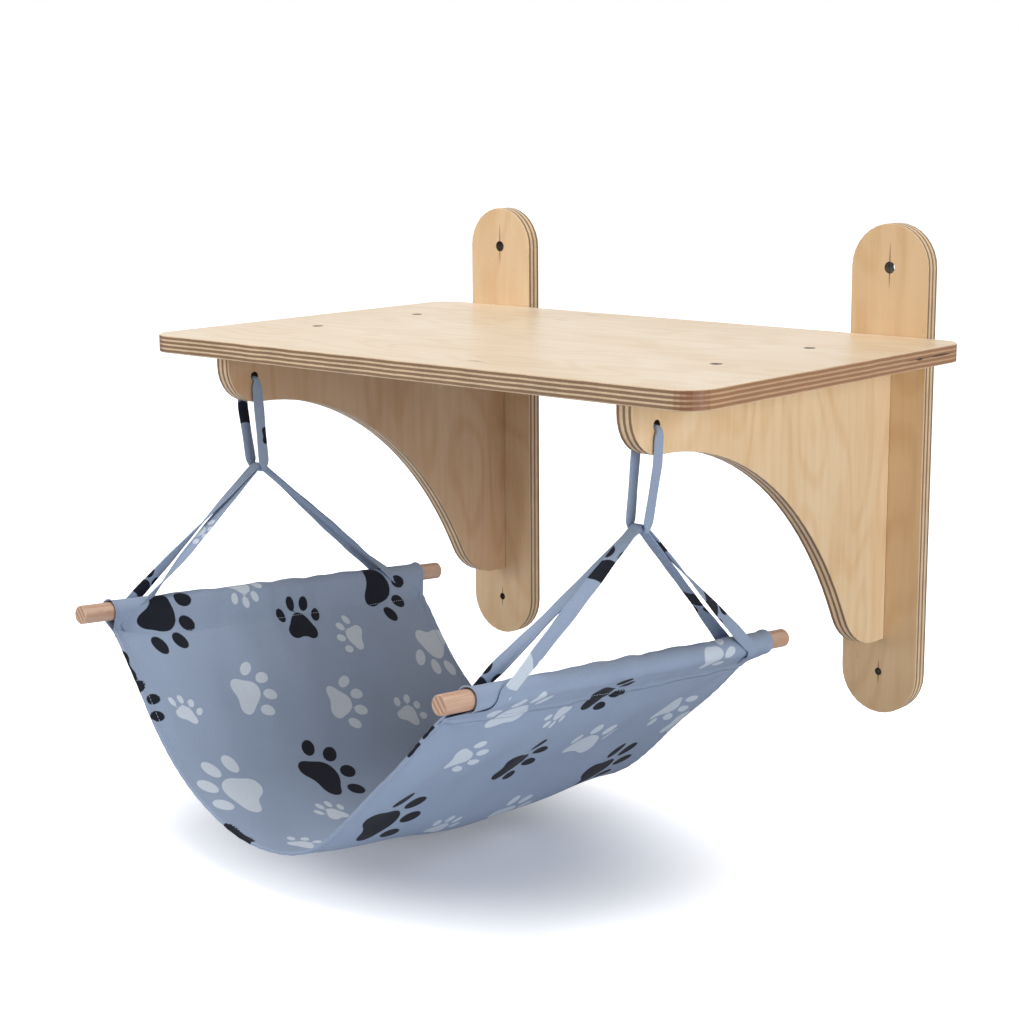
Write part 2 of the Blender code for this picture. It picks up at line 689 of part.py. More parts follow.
def add_hammock(cloth, wood):
    """The bed, its sleeves and slings and the dowels, all under the joint that they rock about."""
    rock = add_pivot("hammock_pivot", (0.0, STRAP_HOLE_Y, JUNCTION_Z), -HAMMOCK_PITCH)
    add_bed(cloth, rock)
    for side in ("left", "right"):
        add_object(side + "_sleeve", sleeve(side), cloth, rock)
        add_object(side + "_inner_sling", lofted(sling_rings(side, inner_leg, INNER_RING)), cloth, rock)
        add_object(side + "_outer_sling", lofted(sling_rings(side, outer_leg, OUTER_RING)), cloth, rock)
        add_dowel(side, wood, rock)


def main():
    """Build the whole shelf."""
    clear_scene()
    plywood = make_material("birch_plywood", (0.69, 0.49, 0.30), 0.55)
    beech = make_material("beech_dowel", (0.66, 0.40, 0.25), 0.6)
    cloth = make_material("cotton_canvas", (0.29, 0.34, 0.42), 0.9)
    steel = make_material("bronzed_steel", (0.11, 0.09, 0.08), 0.4, 1.0)
    add_woodwork(plywood, steel)
    for side in ("left", "right"):
        add_loop(side, cloth)
    add_hammock(cloth, beech)


main()
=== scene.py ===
"""Looks of a cat wall shelf: eased birch plywood, beech dowels and a hammock of printed canvas.

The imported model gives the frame. Its woodwork, screws and dowels keep their solids and get their finishes
here. Its cloth (bed, sleeves, slings and hanging loops) is made again here as sewn cloth. Lengths are in
metres unless a name or comment says millimetres.
"""

import logging
import math
from collections.abc import Callable
from dataclasses import dataclass, field
from enum import Enum

import bpy
import numpy as np
from mathutils import Matrix, Vector

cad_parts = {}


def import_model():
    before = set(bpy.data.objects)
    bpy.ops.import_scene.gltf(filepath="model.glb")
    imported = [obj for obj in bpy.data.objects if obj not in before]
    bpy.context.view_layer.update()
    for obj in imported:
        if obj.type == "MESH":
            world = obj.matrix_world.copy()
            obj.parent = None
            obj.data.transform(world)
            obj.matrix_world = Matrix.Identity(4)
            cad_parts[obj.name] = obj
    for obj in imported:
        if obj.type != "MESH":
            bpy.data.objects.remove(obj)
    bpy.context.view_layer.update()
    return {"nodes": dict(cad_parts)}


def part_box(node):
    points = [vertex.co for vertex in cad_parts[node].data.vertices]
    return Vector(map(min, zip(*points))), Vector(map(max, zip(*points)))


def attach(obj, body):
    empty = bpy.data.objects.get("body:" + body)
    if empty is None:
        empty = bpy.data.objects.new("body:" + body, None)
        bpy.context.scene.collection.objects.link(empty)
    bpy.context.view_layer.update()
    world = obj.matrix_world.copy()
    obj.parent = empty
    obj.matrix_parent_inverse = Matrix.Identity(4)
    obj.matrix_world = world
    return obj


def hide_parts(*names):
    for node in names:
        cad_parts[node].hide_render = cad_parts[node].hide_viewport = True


log = logging.getLogger("cat_wall_shelf")

MM = 0.001
# The sRGB curve: its knee, the slope below the knee, and the offset and power above it.
SRGB_KNEE, SRGB_SLOPE, SRGB_OFFSET, SRGB_POWER = 0.04045, 12.92, 0.055, 2.4

# What a Math or Vector Math node does, and the Mix node as a plain blend and as a tint.
ADD, SUBTRACT, MULTIPLY, DIVIDE, MULTIPLY_ADD, ABSOLUTE, SINE, LESS_THAN, GREATER_THAN, MAXIMUM, LENGTH = (
    {"operation": word} for word in (
        "ADD", "SUBTRACT", "MULTIPLY", "DIVIDE", "MULTIPLY_ADD", "ABSOLUTE", "SINE", "LESS_THAN",
        "GREATER_THAN", "MAXIMUM", "LENGTH"))
BLEND = {"data_type": "RGBA"}
TINT = {"data_type": "RGBA", "blend_type": "MULTIPLY"}

Array = np.ndarray
Signal = bpy.types.Node | bpy.types.NodeSocket
Point = tuple[float, float, float]


class Axis(Enum):
    """An axis of the row frame, as its index in a vector."""

    X = 0
    Y = 1
    Z = 2


class Side(Enum):
    """The shelf's two sides. The value is the side's sign along X."""

    LEFT = -1
    RIGHT = 1

    @property
    def word(self) -> str:
        """The side's name in lower case, as the CAD nodes use it."""
        return self.name.lower()


class Tone(Enum):
    """The two inks of the cloth's print, by the attributes that hold the distance to their outlines."""

    DARK = "print_dark"
    PALE = "print_pale"


# Small tools


def linear(hex_colour: str) -> tuple[float, float, float, float]:
    """Turn an sRGB hex value into linear light.

    Args:
        hex_colour: six hex digits, such as "dcbb8e".

    Returns:
        Red, green, blue and an alpha of 1.
    """
    parts = [int(hex_colour[i:i + 2], 16) / 255 for i in (0, 2, 4)]
    red, green, blue = (part / SRGB_SLOPE if part <= SRGB_KNEE
                        else ((part + SRGB_OFFSET) / (1 + SRGB_OFFSET)) ** SRGB_POWER for part in parts)
    return red, green, blue, 1.0


def set_inputs(tree: bpy.types.NodeTree, node: bpy.types.Node, inputs: dict[str, object]) -> None:
    """Fill or link a node's inputs.

    Args:
        tree: the node's tree.
        node: the node.
        inputs: a value, a socket or a node for each input. A node stands for its first output in use. A name
            such as i0 is the input's number, and any other name is its label with _ for a blank.
    """
    for name, value in inputs.items():
        numbered = name[0] == "i" and name[1:].isdigit()
        socket = node.inputs[int(name[1:]) if numbered else name.replace("_", " ")]
        if isinstance(value, bpy.types.Node):
            value = next(output for output in value.outputs if output.enabled)
        if isinstance(value, bpy.types.NodeSocket):
            tree.links.new(value, socket)
        else:
            socket.default_value = value


def add_node(tree: bpy.types.NodeTree, kind: str, settings: dict | None = None,
             **inputs: object) -> bpy.types.Node:
    """Add a node with its settings, and fill or link its inputs.

    Args:
        tree: the material's or world's node tree.
        kind: the node's type without its prefix, such as "Mix".
        settings: properties of the node to set first, such as its operation.
        **inputs: what set_inputs takes.

    Returns:
        The new node.
    """
    node = tree.nodes.new("ShaderNode" + kind)
    for name, value in (settings or {}).items():
        setattr(node, name, value)
    set_inputs(tree, node, inputs)
    return node


def finish_material(material: bpy.types.Material, **inputs: object) -> bpy.types.Material:
    """Fill or link the inputs of a material's Principled node.

    Args:
        material: the material.
        **inputs: what set_inputs takes.

    Returns:
        The same material.
    """
    set_inputs(material.node_tree, material.node_tree.nodes["Principled BSDF"], inputs)
    return material


def start_material(name: str) -> tuple[bpy.types.Material, bpy.types.NodeTree]:
    """Begin a material.

    Args:
        name: the finish's name.

    Returns:
        The material and its node tree.
    """
    material = bpy.data.materials.new(name)
    material.use_nodes = True
    return material, material.node_tree


def dress(piece: bpy.types.Object, material: bpy.types.Material) -> None:
    """Give a piece one material in all its slots."""
    piece.data.materials.clear()
    piece.data.materials.append(material)


def add_piece(name: str, mesh: bpy.types.Mesh) -> bpy.types.Object:
    """Put a mesh in the scene as a smooth piece.

    Args:
        name: the piece's name.
        mesh: its mesh.

    Returns:
        The new object.
    """
    mesh.shade_smooth()
    piece = bpy.data.objects.new(name, mesh)
    bpy.context.scene.collection.objects.link(piece)
    return piece


def face_outwards(piece: bpy.types.Object) -> None:
    """Turn all faces of a closed piece outwards."""
    bpy.ops.object.select_all(action="DESELECT")
    bpy.context.view_layer.objects.active = piece
    piece.select_set(True)
    bpy.ops.object.mode_set(mode="EDIT")
    bpy.ops.mesh.select_all(action="SELECT")
    bpy.ops.mesh.normals_make_consistent(inside=False)
    bpy.ops.object.mode_set(mode="OBJECT")


def lay_flat(mesh: bpy.types.Mesh, flat: Array) -> None:
    """Give a mesh a UV map, in metres.

    Args:
        mesh: the mesh.
        flat: each point's coordinates on the flat cloth.
    """
    corners = np.zeros(len(mesh.loops), np.int32)
    mesh.loops.foreach_get("vertex_index", corners)
    layer = mesh.uv_layers.new(name="UVMap")
    layer.data.foreach_set("uv", flat[corners].astype(np.float32).ravel())


def unit(vectors: Array) -> Array:
    """Bring vectors, along the last axis, to a length of 1."""
    return vectors / np.linalg.norm(vectors, axis=-1, keepdims=True)


def run_along(points: Array) -> Array:
    """Distance of each point of a line from its start, along the line."""
    return np.concatenate([[0.0], np.cumsum(np.linalg.norm(np.diff(points, axis=0), axis=1))])


def smooth_step(share: Array | float) -> Array | float:
    """Ease from 0 to 1 as share goes from 0 to 1."""
    share = np.clip(share, 0.0, 1.0)
    return share * share * (3 - 2 * share)


def eased(places: Array, run: Array, values: Array) -> Array:
    """Smooth interpolation of values known along a run, by cubic pieces.

    Args:
        places: where the values are wanted.
        run: where they are known.
        values: the known values.

    Returns:
        The values at places.
    """
    slopes = np.gradient(values, run)
    index = np.clip(np.searchsorted(run, places, side="right") - 1, 0, len(run) - 2)
    span = run[index + 1] - run[index]
    t = (places - run[index]) / span
    first = (2 * t ** 3 - 3 * t ** 2 + 1) * values[index] + (t ** 3 - 2 * t ** 2 + t) * span * slopes[index]
    second = (3 * t ** 2 - 2 * t ** 3) * values[index + 1] + (t ** 3 - t ** 2) * span * slopes[index + 1]
    return first + second


# Finishes


@dataclass(frozen=True)
class GrainPattern:
    """Noise drawn out along the grain.

    It is width_mm across the grain and stretch times longer along it. shift keeps two patterns apart. It
    fades in between the values low and high, and shows at its strength. With folds, it becomes contour lines.
    """

    width_mm: float
    stretch: float
    detail: float = 4.0
    shift: float = 0.0
    low: float = 0.0
    high: float = 1.0
    strength: float = 1.0
    folds: float = 0.0


@dataclass(frozen=True)
class PencilLine:
    """A marking-out line on a plank's faces, through a wall hole. It tapers to nothing at both ends."""

    across: float
    low: float
    high: float
    width: float = 1.7 * MM
    strength: float = 0.8


@dataclass(frozen=True)
class Hole:
    """A drilled hole: a point of its axis, the distance from it within which the hole's wall lies, and how
    dark the painted shade on that wall is.
    """

    place: Point
    radius: float
    strength: float = 0.85


@dataclass(frozen=True)
class Mark:
    """A soft dark mark in the wood, full within core of its half sizes and gone a little past them."""

    place: Point
    half_sizes: Point
    strength: float
    colour: str
    core: float
    gone: float = 1.2


@dataclass(frozen=True)
class BirchPlywood:
    """Sanded and clear-varnished birch plywood.

    Rotary-cut veneers give the face a soft figure with short dark flecks along the grain. On the edges the
    plies show in turn, pale along their grain and brown across it, and they waver a little.
    """

    name: str
    stack: Axis
    start: float
    grain: Axis
    plies: int = 7
    thickness: float = 18.0 * MM
    face: str = "e7caa4"
    warm: str = "d8b083"
    fleck_brown: str = "a97c50"
    pale_ply: str = "e3c6a0"
    brown_ply: str = "8a6a4c"
    pencil: str = "6b4f33"
    # The dark colour of the holes' walls: painted shade, since little light gets into a hole.
    drilled: str = "3a2417"
    warm_scorch: str = "ab7852"
    burnt_scorch: str = "7f4c2e"
    brown_share: float = 0.55
    # The varnish's least roughness, what the fibres add to it, and how strongly they stand out.
    gloss: float = 0.36
    fibre_roughness: float = 0.12
    relief: float = 0.1
    # The scorch's own strength, then of its warmth and its burnt corners: the tilts where they set in and are
    # full, and their strengths. The burnt corners are uneven: their patches' size, and the least of them.
    scorch: float = 0.0
    warm_tilt: tuple[float, float] = (0.6, 1.0)
    warm_strength: float = 0.55
    burnt_tilt: tuple[float, float] = (0.08, 0.5)
    burnt_strength: float = 0.9
    burnt_mm: float = 12.0
    burnt_least: float = 0.3
    lines: tuple[PencilLine, ...] = ()
    holes: tuple[Hole, ...] = ()
    face_marks: tuple[Mark, ...] = ()
    edge_marks: tuple[Mark, ...] = ()
    figure: tuple[GrainPattern, ...] = (
        GrainPattern(110.0, 2.4, detail=2.0, low=0.38, high=0.68, strength=0.5),
        GrainPattern(7.0, 16.0, detail=5.0, shift=3.0, low=0.4, high=0.7, strength=0.3),
        GrainPattern(70.0, 3.2, detail=1.0, shift=5.0, low=-0.2, high=1.0, strength=0.34, folds=46.0))
    flecks: GrainPattern = GrainPattern(1.6, 9.0, detail=1.0, shift=9.0, low=0.72, high=0.8, strength=0.4)
    fibres: GrainPattern = GrainPattern(0.5, 14.0)
    # How far a face may tilt from the sheet's own faces, as a cosine, before it counts as an edge.
    face_tilt: float = 0.72
    # The outer veneers' share of the thickness, the softness of the glue lines, and how the plies waver.
    skin: float = 0.06
    glue: float = 0.02
    waver: float = 1.3 * MM
    waver_mm: float = 34.0
    # The edge's light and dark: cut fibres, broad patches, and the level under them.
    cut_fibre_mm: float = 1.6
    patch_mm: float = 24.0
    cut_fibre_share: float = 0.4
    patch_share: float = 0.5
    edge_level: float = 0.54

    def material(self) -> bpy.types.Material:
        """Build the finish's shader.

        Returns:
            The material, which reads the row frame's coordinates.
        """
        material, tree = start_material(self.name)
        place = add_node(tree, "TexCoord").outputs["Object"]
        parts = add_node(tree, "SeparateXYZ", i0=place).outputs
        normal = add_node(tree, "NewGeometry").outputs["True Normal"]
        face = self.face_colour(tree, place)
        for line in self.lines:
            face = self.draw_line(tree, parts, face, line)
        for mark in self.face_marks:
            face = self.draw_mark(tree, place, face, mark)
        edge = self.edge_colour(tree, place, parts[self.stack.value])
        if self.scorch:
            edge = self.scorch_edge(tree, normal, place, edge)
        for mark in self.edge_marks:
            edge = self.draw_mark(tree, place, edge, mark)
        # Painted shade on the walls of holes.
        for hole in self.holes:
            edge = self.paint_hole_shade(tree, place, edge, hole)
        tilt = add_node(tree, "SeparateXYZ", i0=normal).outputs[self.stack.value]
        tilt = add_node(tree, "Math", ABSOLUTE, i0=tilt)
        on_face = add_node(tree, "Math", GREATER_THAN, i0=tilt, i1=self.face_tilt)
        fine = self.along_grain(tree, place, self.fibres)
        return finish_material(
            material,
            Base_Color=add_node(tree, "Mix", BLEND, i0=on_face, i6=edge, i7=face),
            Normal=add_node(tree, "Bump", Strength=self.relief, Distance=0.1 * MM, Height=fine),
            Roughness=add_node(tree, "Math", MULTIPLY_ADD, i0=fine, i1=self.fibre_roughness, i2=self.gloss),
            Specular_IOR_Level=0.45)

    def along_grain(self, tree: bpy.types.NodeTree, place: Signal, pattern: GrainPattern) -> Signal:
        """Noise drawn out along the grain.

        Args:
            tree: the material's node tree.
            place: the row frame's coordinates.
            pattern: the noise's sizes.

        Returns:
            The noise's value.
        """
        scale = [1000 / pattern.width_mm] * 3
        scale[self.grain.value] /= pattern.stretch
        mapping = add_node(tree, "Mapping", Vector=place, Location=(pattern.shift,) * 3, Scale=scale)
        return add_node(tree, "TexNoise", Vector=mapping, Scale=1.0, Detail=pattern.detail)

    def face_colour(self, tree: bpy.types.NodeTree, place: Signal) -> Signal:
        """The veneer's colour: broad clouds, streaks along the grain, contour lines, and flecks.

        Args:
            tree: the material's node tree.
            place: the row frame's coordinates.

        Returns:
            The colour.
        """
        share = 0.0
        for pattern in self.figure:
            value = self.along_grain(tree, place, pattern)
            if pattern.folds:
                value = add_node(tree, "Math", MULTIPLY, i0=value, i1=pattern.folds)
                value = add_node(tree, "Math", SINE, i0=value)
            value = add_node(tree, "MapRange", Value=value, From_Min=pattern.low, From_Max=pattern.high)
            share = add_node(tree, "Math", MULTIPLY_ADD, i0=value, i1=pattern.strength, i2=share)
        colour = add_node(tree, "Mix", BLEND, i0=share, i6=linear(self.face), i7=linear(self.warm))
        fleck = add_node(tree, "MapRange", Value=self.along_grain(tree, place, self.flecks),
                         From_Min=self.flecks.low, From_Max=self.flecks.high)
        fleck = add_node(tree, "Math", MULTIPLY, i0=fleck, i1=self.flecks.strength)
        return add_node(tree, "Mix", BLEND, i0=fleck, i6=colour, i7=linear(self.fleck_brown))

    def edge_colour(self, tree: bpy.types.NodeTree, place: Signal, depth: Signal) -> Signal:
        """The plies' colours on an edge, by their depth in the sheet.

        Args:
            tree: the material's node tree.
            place: the row frame's coordinates.
            depth: the coordinate across the plies.

        Returns:
            The colour.
        """
        wave = add_node(tree, "TexNoise", Vector=place, Scale=1000 / self.waver_mm, Detail=5.0)
        wobble = add_node(tree, "Math", MULTIPLY_ADD, i0=wave, i1=self.waver, i2=-self.waver / 2)
        layer = add_node(tree, "Math", ADD, i0=depth, i1=wobble)
        layer = add_node(tree, "Math", SUBTRACT, i0=layer, i1=self.start)
        layer = add_node(tree, "Math", DIVIDE, i0=layer, i1=self.thickness)
        ramp = add_node(tree, "ValToRGB", i0=layer)
        stops = ramp.color_ramp.elements
        browns = (self.plies - 1) // 2
        brown = (1 - 2 * self.skin) * self.brown_share / browns
        pale = (1 - 2 * self.skin) * (1 - self.brown_share) / (browns - 1)
        edges = [self.skin]
        for index in range(self.plies - 2):
            edges.append(edges[-1] + (brown if index % 2 == 0 else pale))
        for stop, position in ((stops[0], 0.0), (stops[1], 1.0)):
            stop.position, stop.color = position, linear(self.pale_ply)
        for index, edge in enumerate(edges):
            colours = (self.pale_ply, self.brown_ply) if index % 2 == 0 else (self.brown_ply, self.pale_ply)
            for shift, colour in zip((-self.glue, self.glue), colours):
                stops.new(edge + shift).color = linear(colour)
        shade = self.edge_level
        for size_mm, share in ((self.patch_mm, self.patch_share), (self.cut_fibre_mm, self.cut_fibre_share)):
            value = add_node(tree, "TexNoise", Vector=place, Scale=1000 / size_mm, Detail=3.0)
            shade = add_node(tree, "Math", MULTIPLY_ADD, i0=value, i1=share, i2=shade)
        return add_node(tree, "Mix", TINT, i0=1.0, i6=ramp, i7=shade)

    def draw_line(self, tree: bpy.types.NodeTree, parts: object, colour: Signal, line: PencilLine) -> Signal:
        """Draw a pencil line over the face's colour.

        Args:
            tree: the material's node tree.
            parts: the row frame's separated coordinates.
            colour: the colour under the line.
            line: where the line runs.

        Returns:
            The colour.
        """
        middle, half = (line.low + line.high) / 2, (line.high - line.low) / 2
        off = add_node(tree, "Math", SUBTRACT, i0=parts[Axis.X.value], i1=line.across)
        off = add_node(tree, "Math", ABSOLUTE, i0=off)
        along = add_node(tree, "Math", SUBTRACT, i0=parts[Axis.Z.value], i1=middle)
        along = add_node(tree, "Math", DIVIDE, i0=along, i1=half)
        along = add_node(tree, "Math", MULTIPLY, i0=along, i1=along)
        taper = add_node(tree, "Math", SUBTRACT, i0=1.0, i1=along)
        taper = add_node(tree, "Math", MULTIPLY, i0=taper, i1=line.width / 2)
        inside = add_node(tree, "Math", LESS_THAN, i0=off, i1=taper)
        inside = add_node(tree, "Math", MULTIPLY, i0=inside, i1=line.strength)
        return add_node(tree, "Mix", BLEND, i0=inside, i6=colour, i7=linear(self.pencil))

    def draw_mark(self, tree: bpy.types.NodeTree, place: Signal, colour: Signal, mark: Mark) -> Signal:
        """Draw a soft mark over a colour.

        Args:
            tree: the material's node tree.
            place: the row frame's coordinates.
            colour: the colour under it.
            mark: where it lies, and how it looks.

        Returns:
            The colour.
        """
        away = add_node(tree, "Mapping", {"vector_type": "TEXTURE"}, Vector=place, Location=mark.place,
                        Scale=mark.half_sizes)
        reach = add_node(tree, "VectorMath", LENGTH, i0=away)
        inside = add_node(tree, "MapRange", Value=reach, From_Min=mark.gone, From_Max=mark.core)
        inside = add_node(tree, "Math", MULTIPLY, i0=inside, i1=mark.strength)
        return add_node(tree, "Mix", BLEND, i0=inside, i6=colour, i7=linear(mark.colour))

    def paint_hole_shade(self, tree: bpy.types.NodeTree, place: Signal, colour: Signal, hole: Hole) -> Signal:
        """Darken a drilled hole's wall with painted shade, since little light gets into the hole.

        Args:
            tree: the material's node tree.
            place: the row frame's coordinates.
            colour: the colour round it.
            hole: the hole.

        Returns:
            The colour.
        """
        flat = [1.0, 1.0, 1.0]
        flat[self.stack.value] = 0.0
        away = add_node(tree, "VectorMath", SUBTRACT, i0=place, i1=hole.place)
        away = add_node(tree, "VectorMath", MULTIPLY, i0=away, i1=flat)
        reach = add_node(tree, "VectorMath", LENGTH, i0=away)
        inside = add_node(tree, "Math", LESS_THAN, i0=reach, i1=hole.radius)
        inside = add_node(tree, "Math", MULTIPLY, i0=inside, i1=hole.strength)
        return add_node(tree, "Mix", BLEND, i0=inside, i6=colour, i7=linear(self.drilled))

    def scorch_edge(self, tree: bpy.types.NodeTree, normal: Signal, place: Signal, colour: Signal) -> Signal:
        """Brown the edges as the router leaves them: the short sides a little, the round corners most.

        Args:
            tree: the material's node tree.
            normal: the surface's normal.
            place: the row frame's coordinates.
            colour: the edge's colour.

        Returns:
            The colour.
        """
        tilt = add_node(tree, "SeparateXYZ", i0=normal).outputs
        side = add_node(tree, "Math", ABSOLUTE, i0=tilt[0])
        warm = add_node(tree, "MapRange", Value=side, From_Min=self.warm_tilt[0], From_Max=self.warm_tilt[1])
        warm = add_node(tree, "Math", MULTIPLY, i0=warm, i1=self.warm_strength * self.scorch)
        corner = add_node(tree, "Math", MULTIPLY, i0=tilt[0], i1=tilt[1])
        corner = add_node(tree, "Math", ABSOLUTE, i0=corner)
        burnt = add_node(tree, "MapRange", Value=corner, From_Min=self.burnt_tilt[0],
                         From_Max=self.burnt_tilt[1])
        uneven = add_node(tree, "TexNoise", Vector=place, Scale=1000 / self.burnt_mm, Detail=3.0)
        uneven = add_node(tree, "Math", MULTIPLY_ADD, i0=uneven, i1=1.0, i2=self.burnt_least)
        burnt = add_node(tree, "Math", MULTIPLY, i0=burnt, i1=uneven)
        burnt = add_node(tree, "Math", MULTIPLY, i0=burnt, i1=self.burnt_strength * self.scorch)
        for share, brown in ((warm, self.warm_scorch), (burnt, self.burnt_scorch)):
            colour = add_node(tree, "Mix", BLEND, i0=share, i6=colour, i7=linear(brown))
        return colour


@dataclass(frozen=True)
class BeechDowel:
    """Turned and sanded beech rod: pinkish, with long pores on its side and growth rings on its ends."""

    name: str = "beech_dowel"
    body: str = "d3b29b"
    ring: str = "b1846b"
    # Growth rings on the side, in millimetres along X, Y and Z, and how the log lay in the rod.
    ring_mm: Point = (2.4, 260.0, 16.0)
    ring_turn: Point = (math.radians(5), 0.7, 0.0)
    pore_mm: Point = (0.9, 9.0, 0.9)
    # The noises' values at which rings and pores set in and are full, and how dark they are.
    ring_range: tuple[float, float] = (0.42, 0.6)
    pore_range: tuple[float, float] = (0.62, 0.74)
    ring_share: float = 0.6
    pore_share: float = 0.4
    end_ring_mm: float = 14.0
    end_turn: Point = (0.0, math.radians(40), 0.0)
    end_tilt: float = 0.8

    def material(self) -> bpy.types.Material:
        """Build the finish's shader.

        Returns:
            The material, which reads the row frame's coordinates.
        """
        material, tree = start_material(self.name)
        place = add_node(tree, "TexCoord").outputs["Object"]
        rings = add_node(tree, "Mapping", Vector=place, Rotation=self.ring_turn,
                         Scale=[1000 / size for size in self.ring_mm])
        rings = add_node(tree, "TexNoise", Vector=rings, Scale=1.0, Detail=2.0)
        rings = add_node(tree, "MapRange", Value=rings, From_Min=self.ring_range[0],
                         From_Max=self.ring_range[1])
        pores = add_node(tree, "Mapping", Vector=place, Scale=[1000 / size for size in self.pore_mm])
        pores = add_node(tree, "TexNoise", Vector=pores, Scale=1.0, Detail=2.0)
        pores = add_node(tree, "MapRange", Value=pores, From_Min=self.pore_range[0],
                         From_Max=self.pore_range[1])
        on_side = add_node(tree, "Math", MULTIPLY, i0=pores, i1=self.pore_share)
        on_side = add_node(tree, "Math", MULTIPLY_ADD, i0=rings, i1=self.ring_share, i2=on_side)
        turned = add_node(tree, "Mapping", Vector=place, Rotation=self.end_turn)
        bands = add_node(tree, "TexWave", Vector=turned, Scale=1000 / self.end_ring_mm, Distortion=2.0,
                         Detail=1.0)
        normal = add_node(tree, "NewGeometry").outputs["True Normal"]
        facing = add_node(tree, "SeparateXYZ", i0=normal).outputs[Axis.Y.value]
        facing = add_node(tree, "Math", ABSOLUTE, i0=facing)
        on_end = add_node(tree, "Math", GREATER_THAN, i0=facing, i1=self.end_tilt)
        share = add_node(tree, "Mix", BLEND, i0=on_end, i6=on_side, i7=bands.outputs["Fac"])
        return finish_material(
            material,
            Base_Color=add_node(tree, "Mix", BLEND, i0=share, i6=linear(self.body), i7=linear(self.ring)),
            Normal=add_node(tree, "Bump", Strength=0.15, Distance=0.1 * MM, Height=pores),
            Roughness=0.55, Specular_IOR_Level=0.35)


@dataclass(frozen=True)
class BronzedSteel:
    """Hardened screw steel with a dark bronze plating, slightly mottled."""

    name: str = "bronzed_steel"
    body: str = "5a4a3c"
    mottle: str = "2e2620"
    mottle_mm: float = 2.0
    # The plating's least roughness, and what its mottle adds.
    roughness: float = 0.3
    mottle_roughness: float = 0.25

    def material(self) -> bpy.types.Material:
        """Build the finish's shader.

        Returns:
            The material, which reads the row frame's coordinates.
        """
        material, tree = start_material(self.name)
        place = add_node(tree, "TexCoord").outputs["Object"]
        mottle = add_node(tree, "TexNoise", Vector=place, Scale=1000 / self.mottle_mm, Detail=3.0)
        return finish_material(
            material,
            Base_Color=add_node(tree, "Mix", BLEND, i0=mottle, i6=linear(self.body), i7=linear(self.mottle)),
            Roughness=add_node(tree, "Math", MULTIPLY_ADD, i0=mottle, i1=self.mottle_roughness,
                               i2=self.roughness),
            Metallic=1.0)


@dataclass(frozen=True)
class PrintedCanvas:
    """Plain-woven cotton canvas with a matt pigment print.

    Threads are about 0.5 mm apart, too fine to show, so the weave is drawn 1.1 mm apart. The print's edges
    follow each piece's own distance attributes, and a fine fuzz gives the cloth its soft sheen.
    """

    name: str = "printed_canvas"
    ground: str = "96a5bd"
    dark: str = "0f1019"
    pale: str = "ccd6e2"
    thread_mm: float = 1.1
    # Thick and thin places in the yarn, and the cloth's slow change of tone.
    slub_mm: float = 3.0
    cloud_mm: float = 70.0
    # How far, in millimetres, ink creeps along the yarn, how soft its edge is, and how well it covers.
    creep: float = 0.5
    ink_edge: float = 0.35
    cover: float = 0.97
    # The cloth's light and dark: its level, and what slubs, clouds and weave add. Then the weave's relief.
    level: float = 0.87
    slub_share: float = 0.14
    cloud_share: float = 0.12
    weave_share: float = 0.03
    weave_relief: float = 0.35

    def material(self) -> bpy.types.Material:
        """Build the finish's shader.

        Returns:
            The material, which reads the piece's UV map, in metres, and its print attributes.
        """
        material, tree = start_material(self.name)
        flat = add_node(tree, "UVMap", {"uv_map": "UVMap"}).outputs[0]
        pitch = math.tau / (self.thread_mm * MM)
        threads = []
        for part in list(add_node(tree, "SeparateXYZ", i0=flat).outputs)[:2]:
            thread = add_node(tree, "Math", MULTIPLY, i0=part, i1=pitch)
            threads.append(add_node(tree, "Math", SINE, i0=thread))
        weave = add_node(tree, "Math", MULTIPLY, i0=threads[0], i1=threads[1])
        slub = add_node(tree, "TexNoise", Vector=flat, Scale=1000 / self.slub_mm, Detail=3.0)
        cloud = add_node(tree, "TexNoise", Vector=flat, Scale=1000 / self.cloud_mm, Detail=2.0)
        colour = linear(self.ground)
        rough = add_node(tree, "Math", MULTIPLY_ADD, i0=slub, i1=self.creep, i2=-self.creep / 2)
        for tone, ink in ((Tone.PALE, self.pale), (Tone.DARK, self.dark)):
            distance = add_node(tree, "Attribute", {"attribute_name": tone.value}).outputs["Fac"]
            distance = add_node(tree, "Math", ADD, i0=distance, i1=rough)
            inside = add_node(tree, "MapRange", Value=distance, From_Min=self.ink_edge,
                              From_Max=-self.ink_edge, To_Min=0.0, To_Max=self.cover)
            colour = add_node(tree, "Mix", BLEND, i0=inside, i6=colour, i7=linear(ink))
        light = self.level
        for value, share in ((slub, self.slub_share), (cloud, self.cloud_share), (weave, self.weave_share)):
            light = add_node(tree, "Math", MULTIPLY_ADD, i0=value, i1=share, i2=light)
        height = add_node(tree, "Math", MULTIPLY_ADD, i0=weave, i1=self.weave_relief, i2=slub)
        return finish_material(
            material,
            Base_Color=add_node(tree, "Mix", TINT, i0=1.0, i6=colour, i7=light),
            Normal=add_node(tree, "Bump", Strength=0.35, Distance=0.15 * MM, Height=height),
            Roughness=0.88, Specular_IOR_Level=0.12, Sheen_Weight=0.05, Sheen_Roughness=0.5)


@dataclass(frozen=True)
class SewingThread:
    """Pale polyester thread, twisted and slightly shiny."""

    name: str = "sewing_thread"
    body: str = "aab5c4"
    shade: str = "8894a6"
    twist_mm: float = 0.8

    def material(self) -> bpy.types.Material:
        """Build the finish's shader.

        Returns:
            The material, which reads the row frame's coordinates.
        """
        material, tree = start_material(self.name)
        place = add_node(tree, "TexCoord").outputs["Object"]
        twist = add_node(tree, "TexNoise", Vector=place, Scale=1000 / self.twist_mm, Detail=1.0)
        colour = add_node(tree, "Mix", BLEND, i0=twist, i6=linear(self.body), i7=linear(self.shade))
        return finish_material(material, Base_Color=colour, Roughness=0.6)


# The print

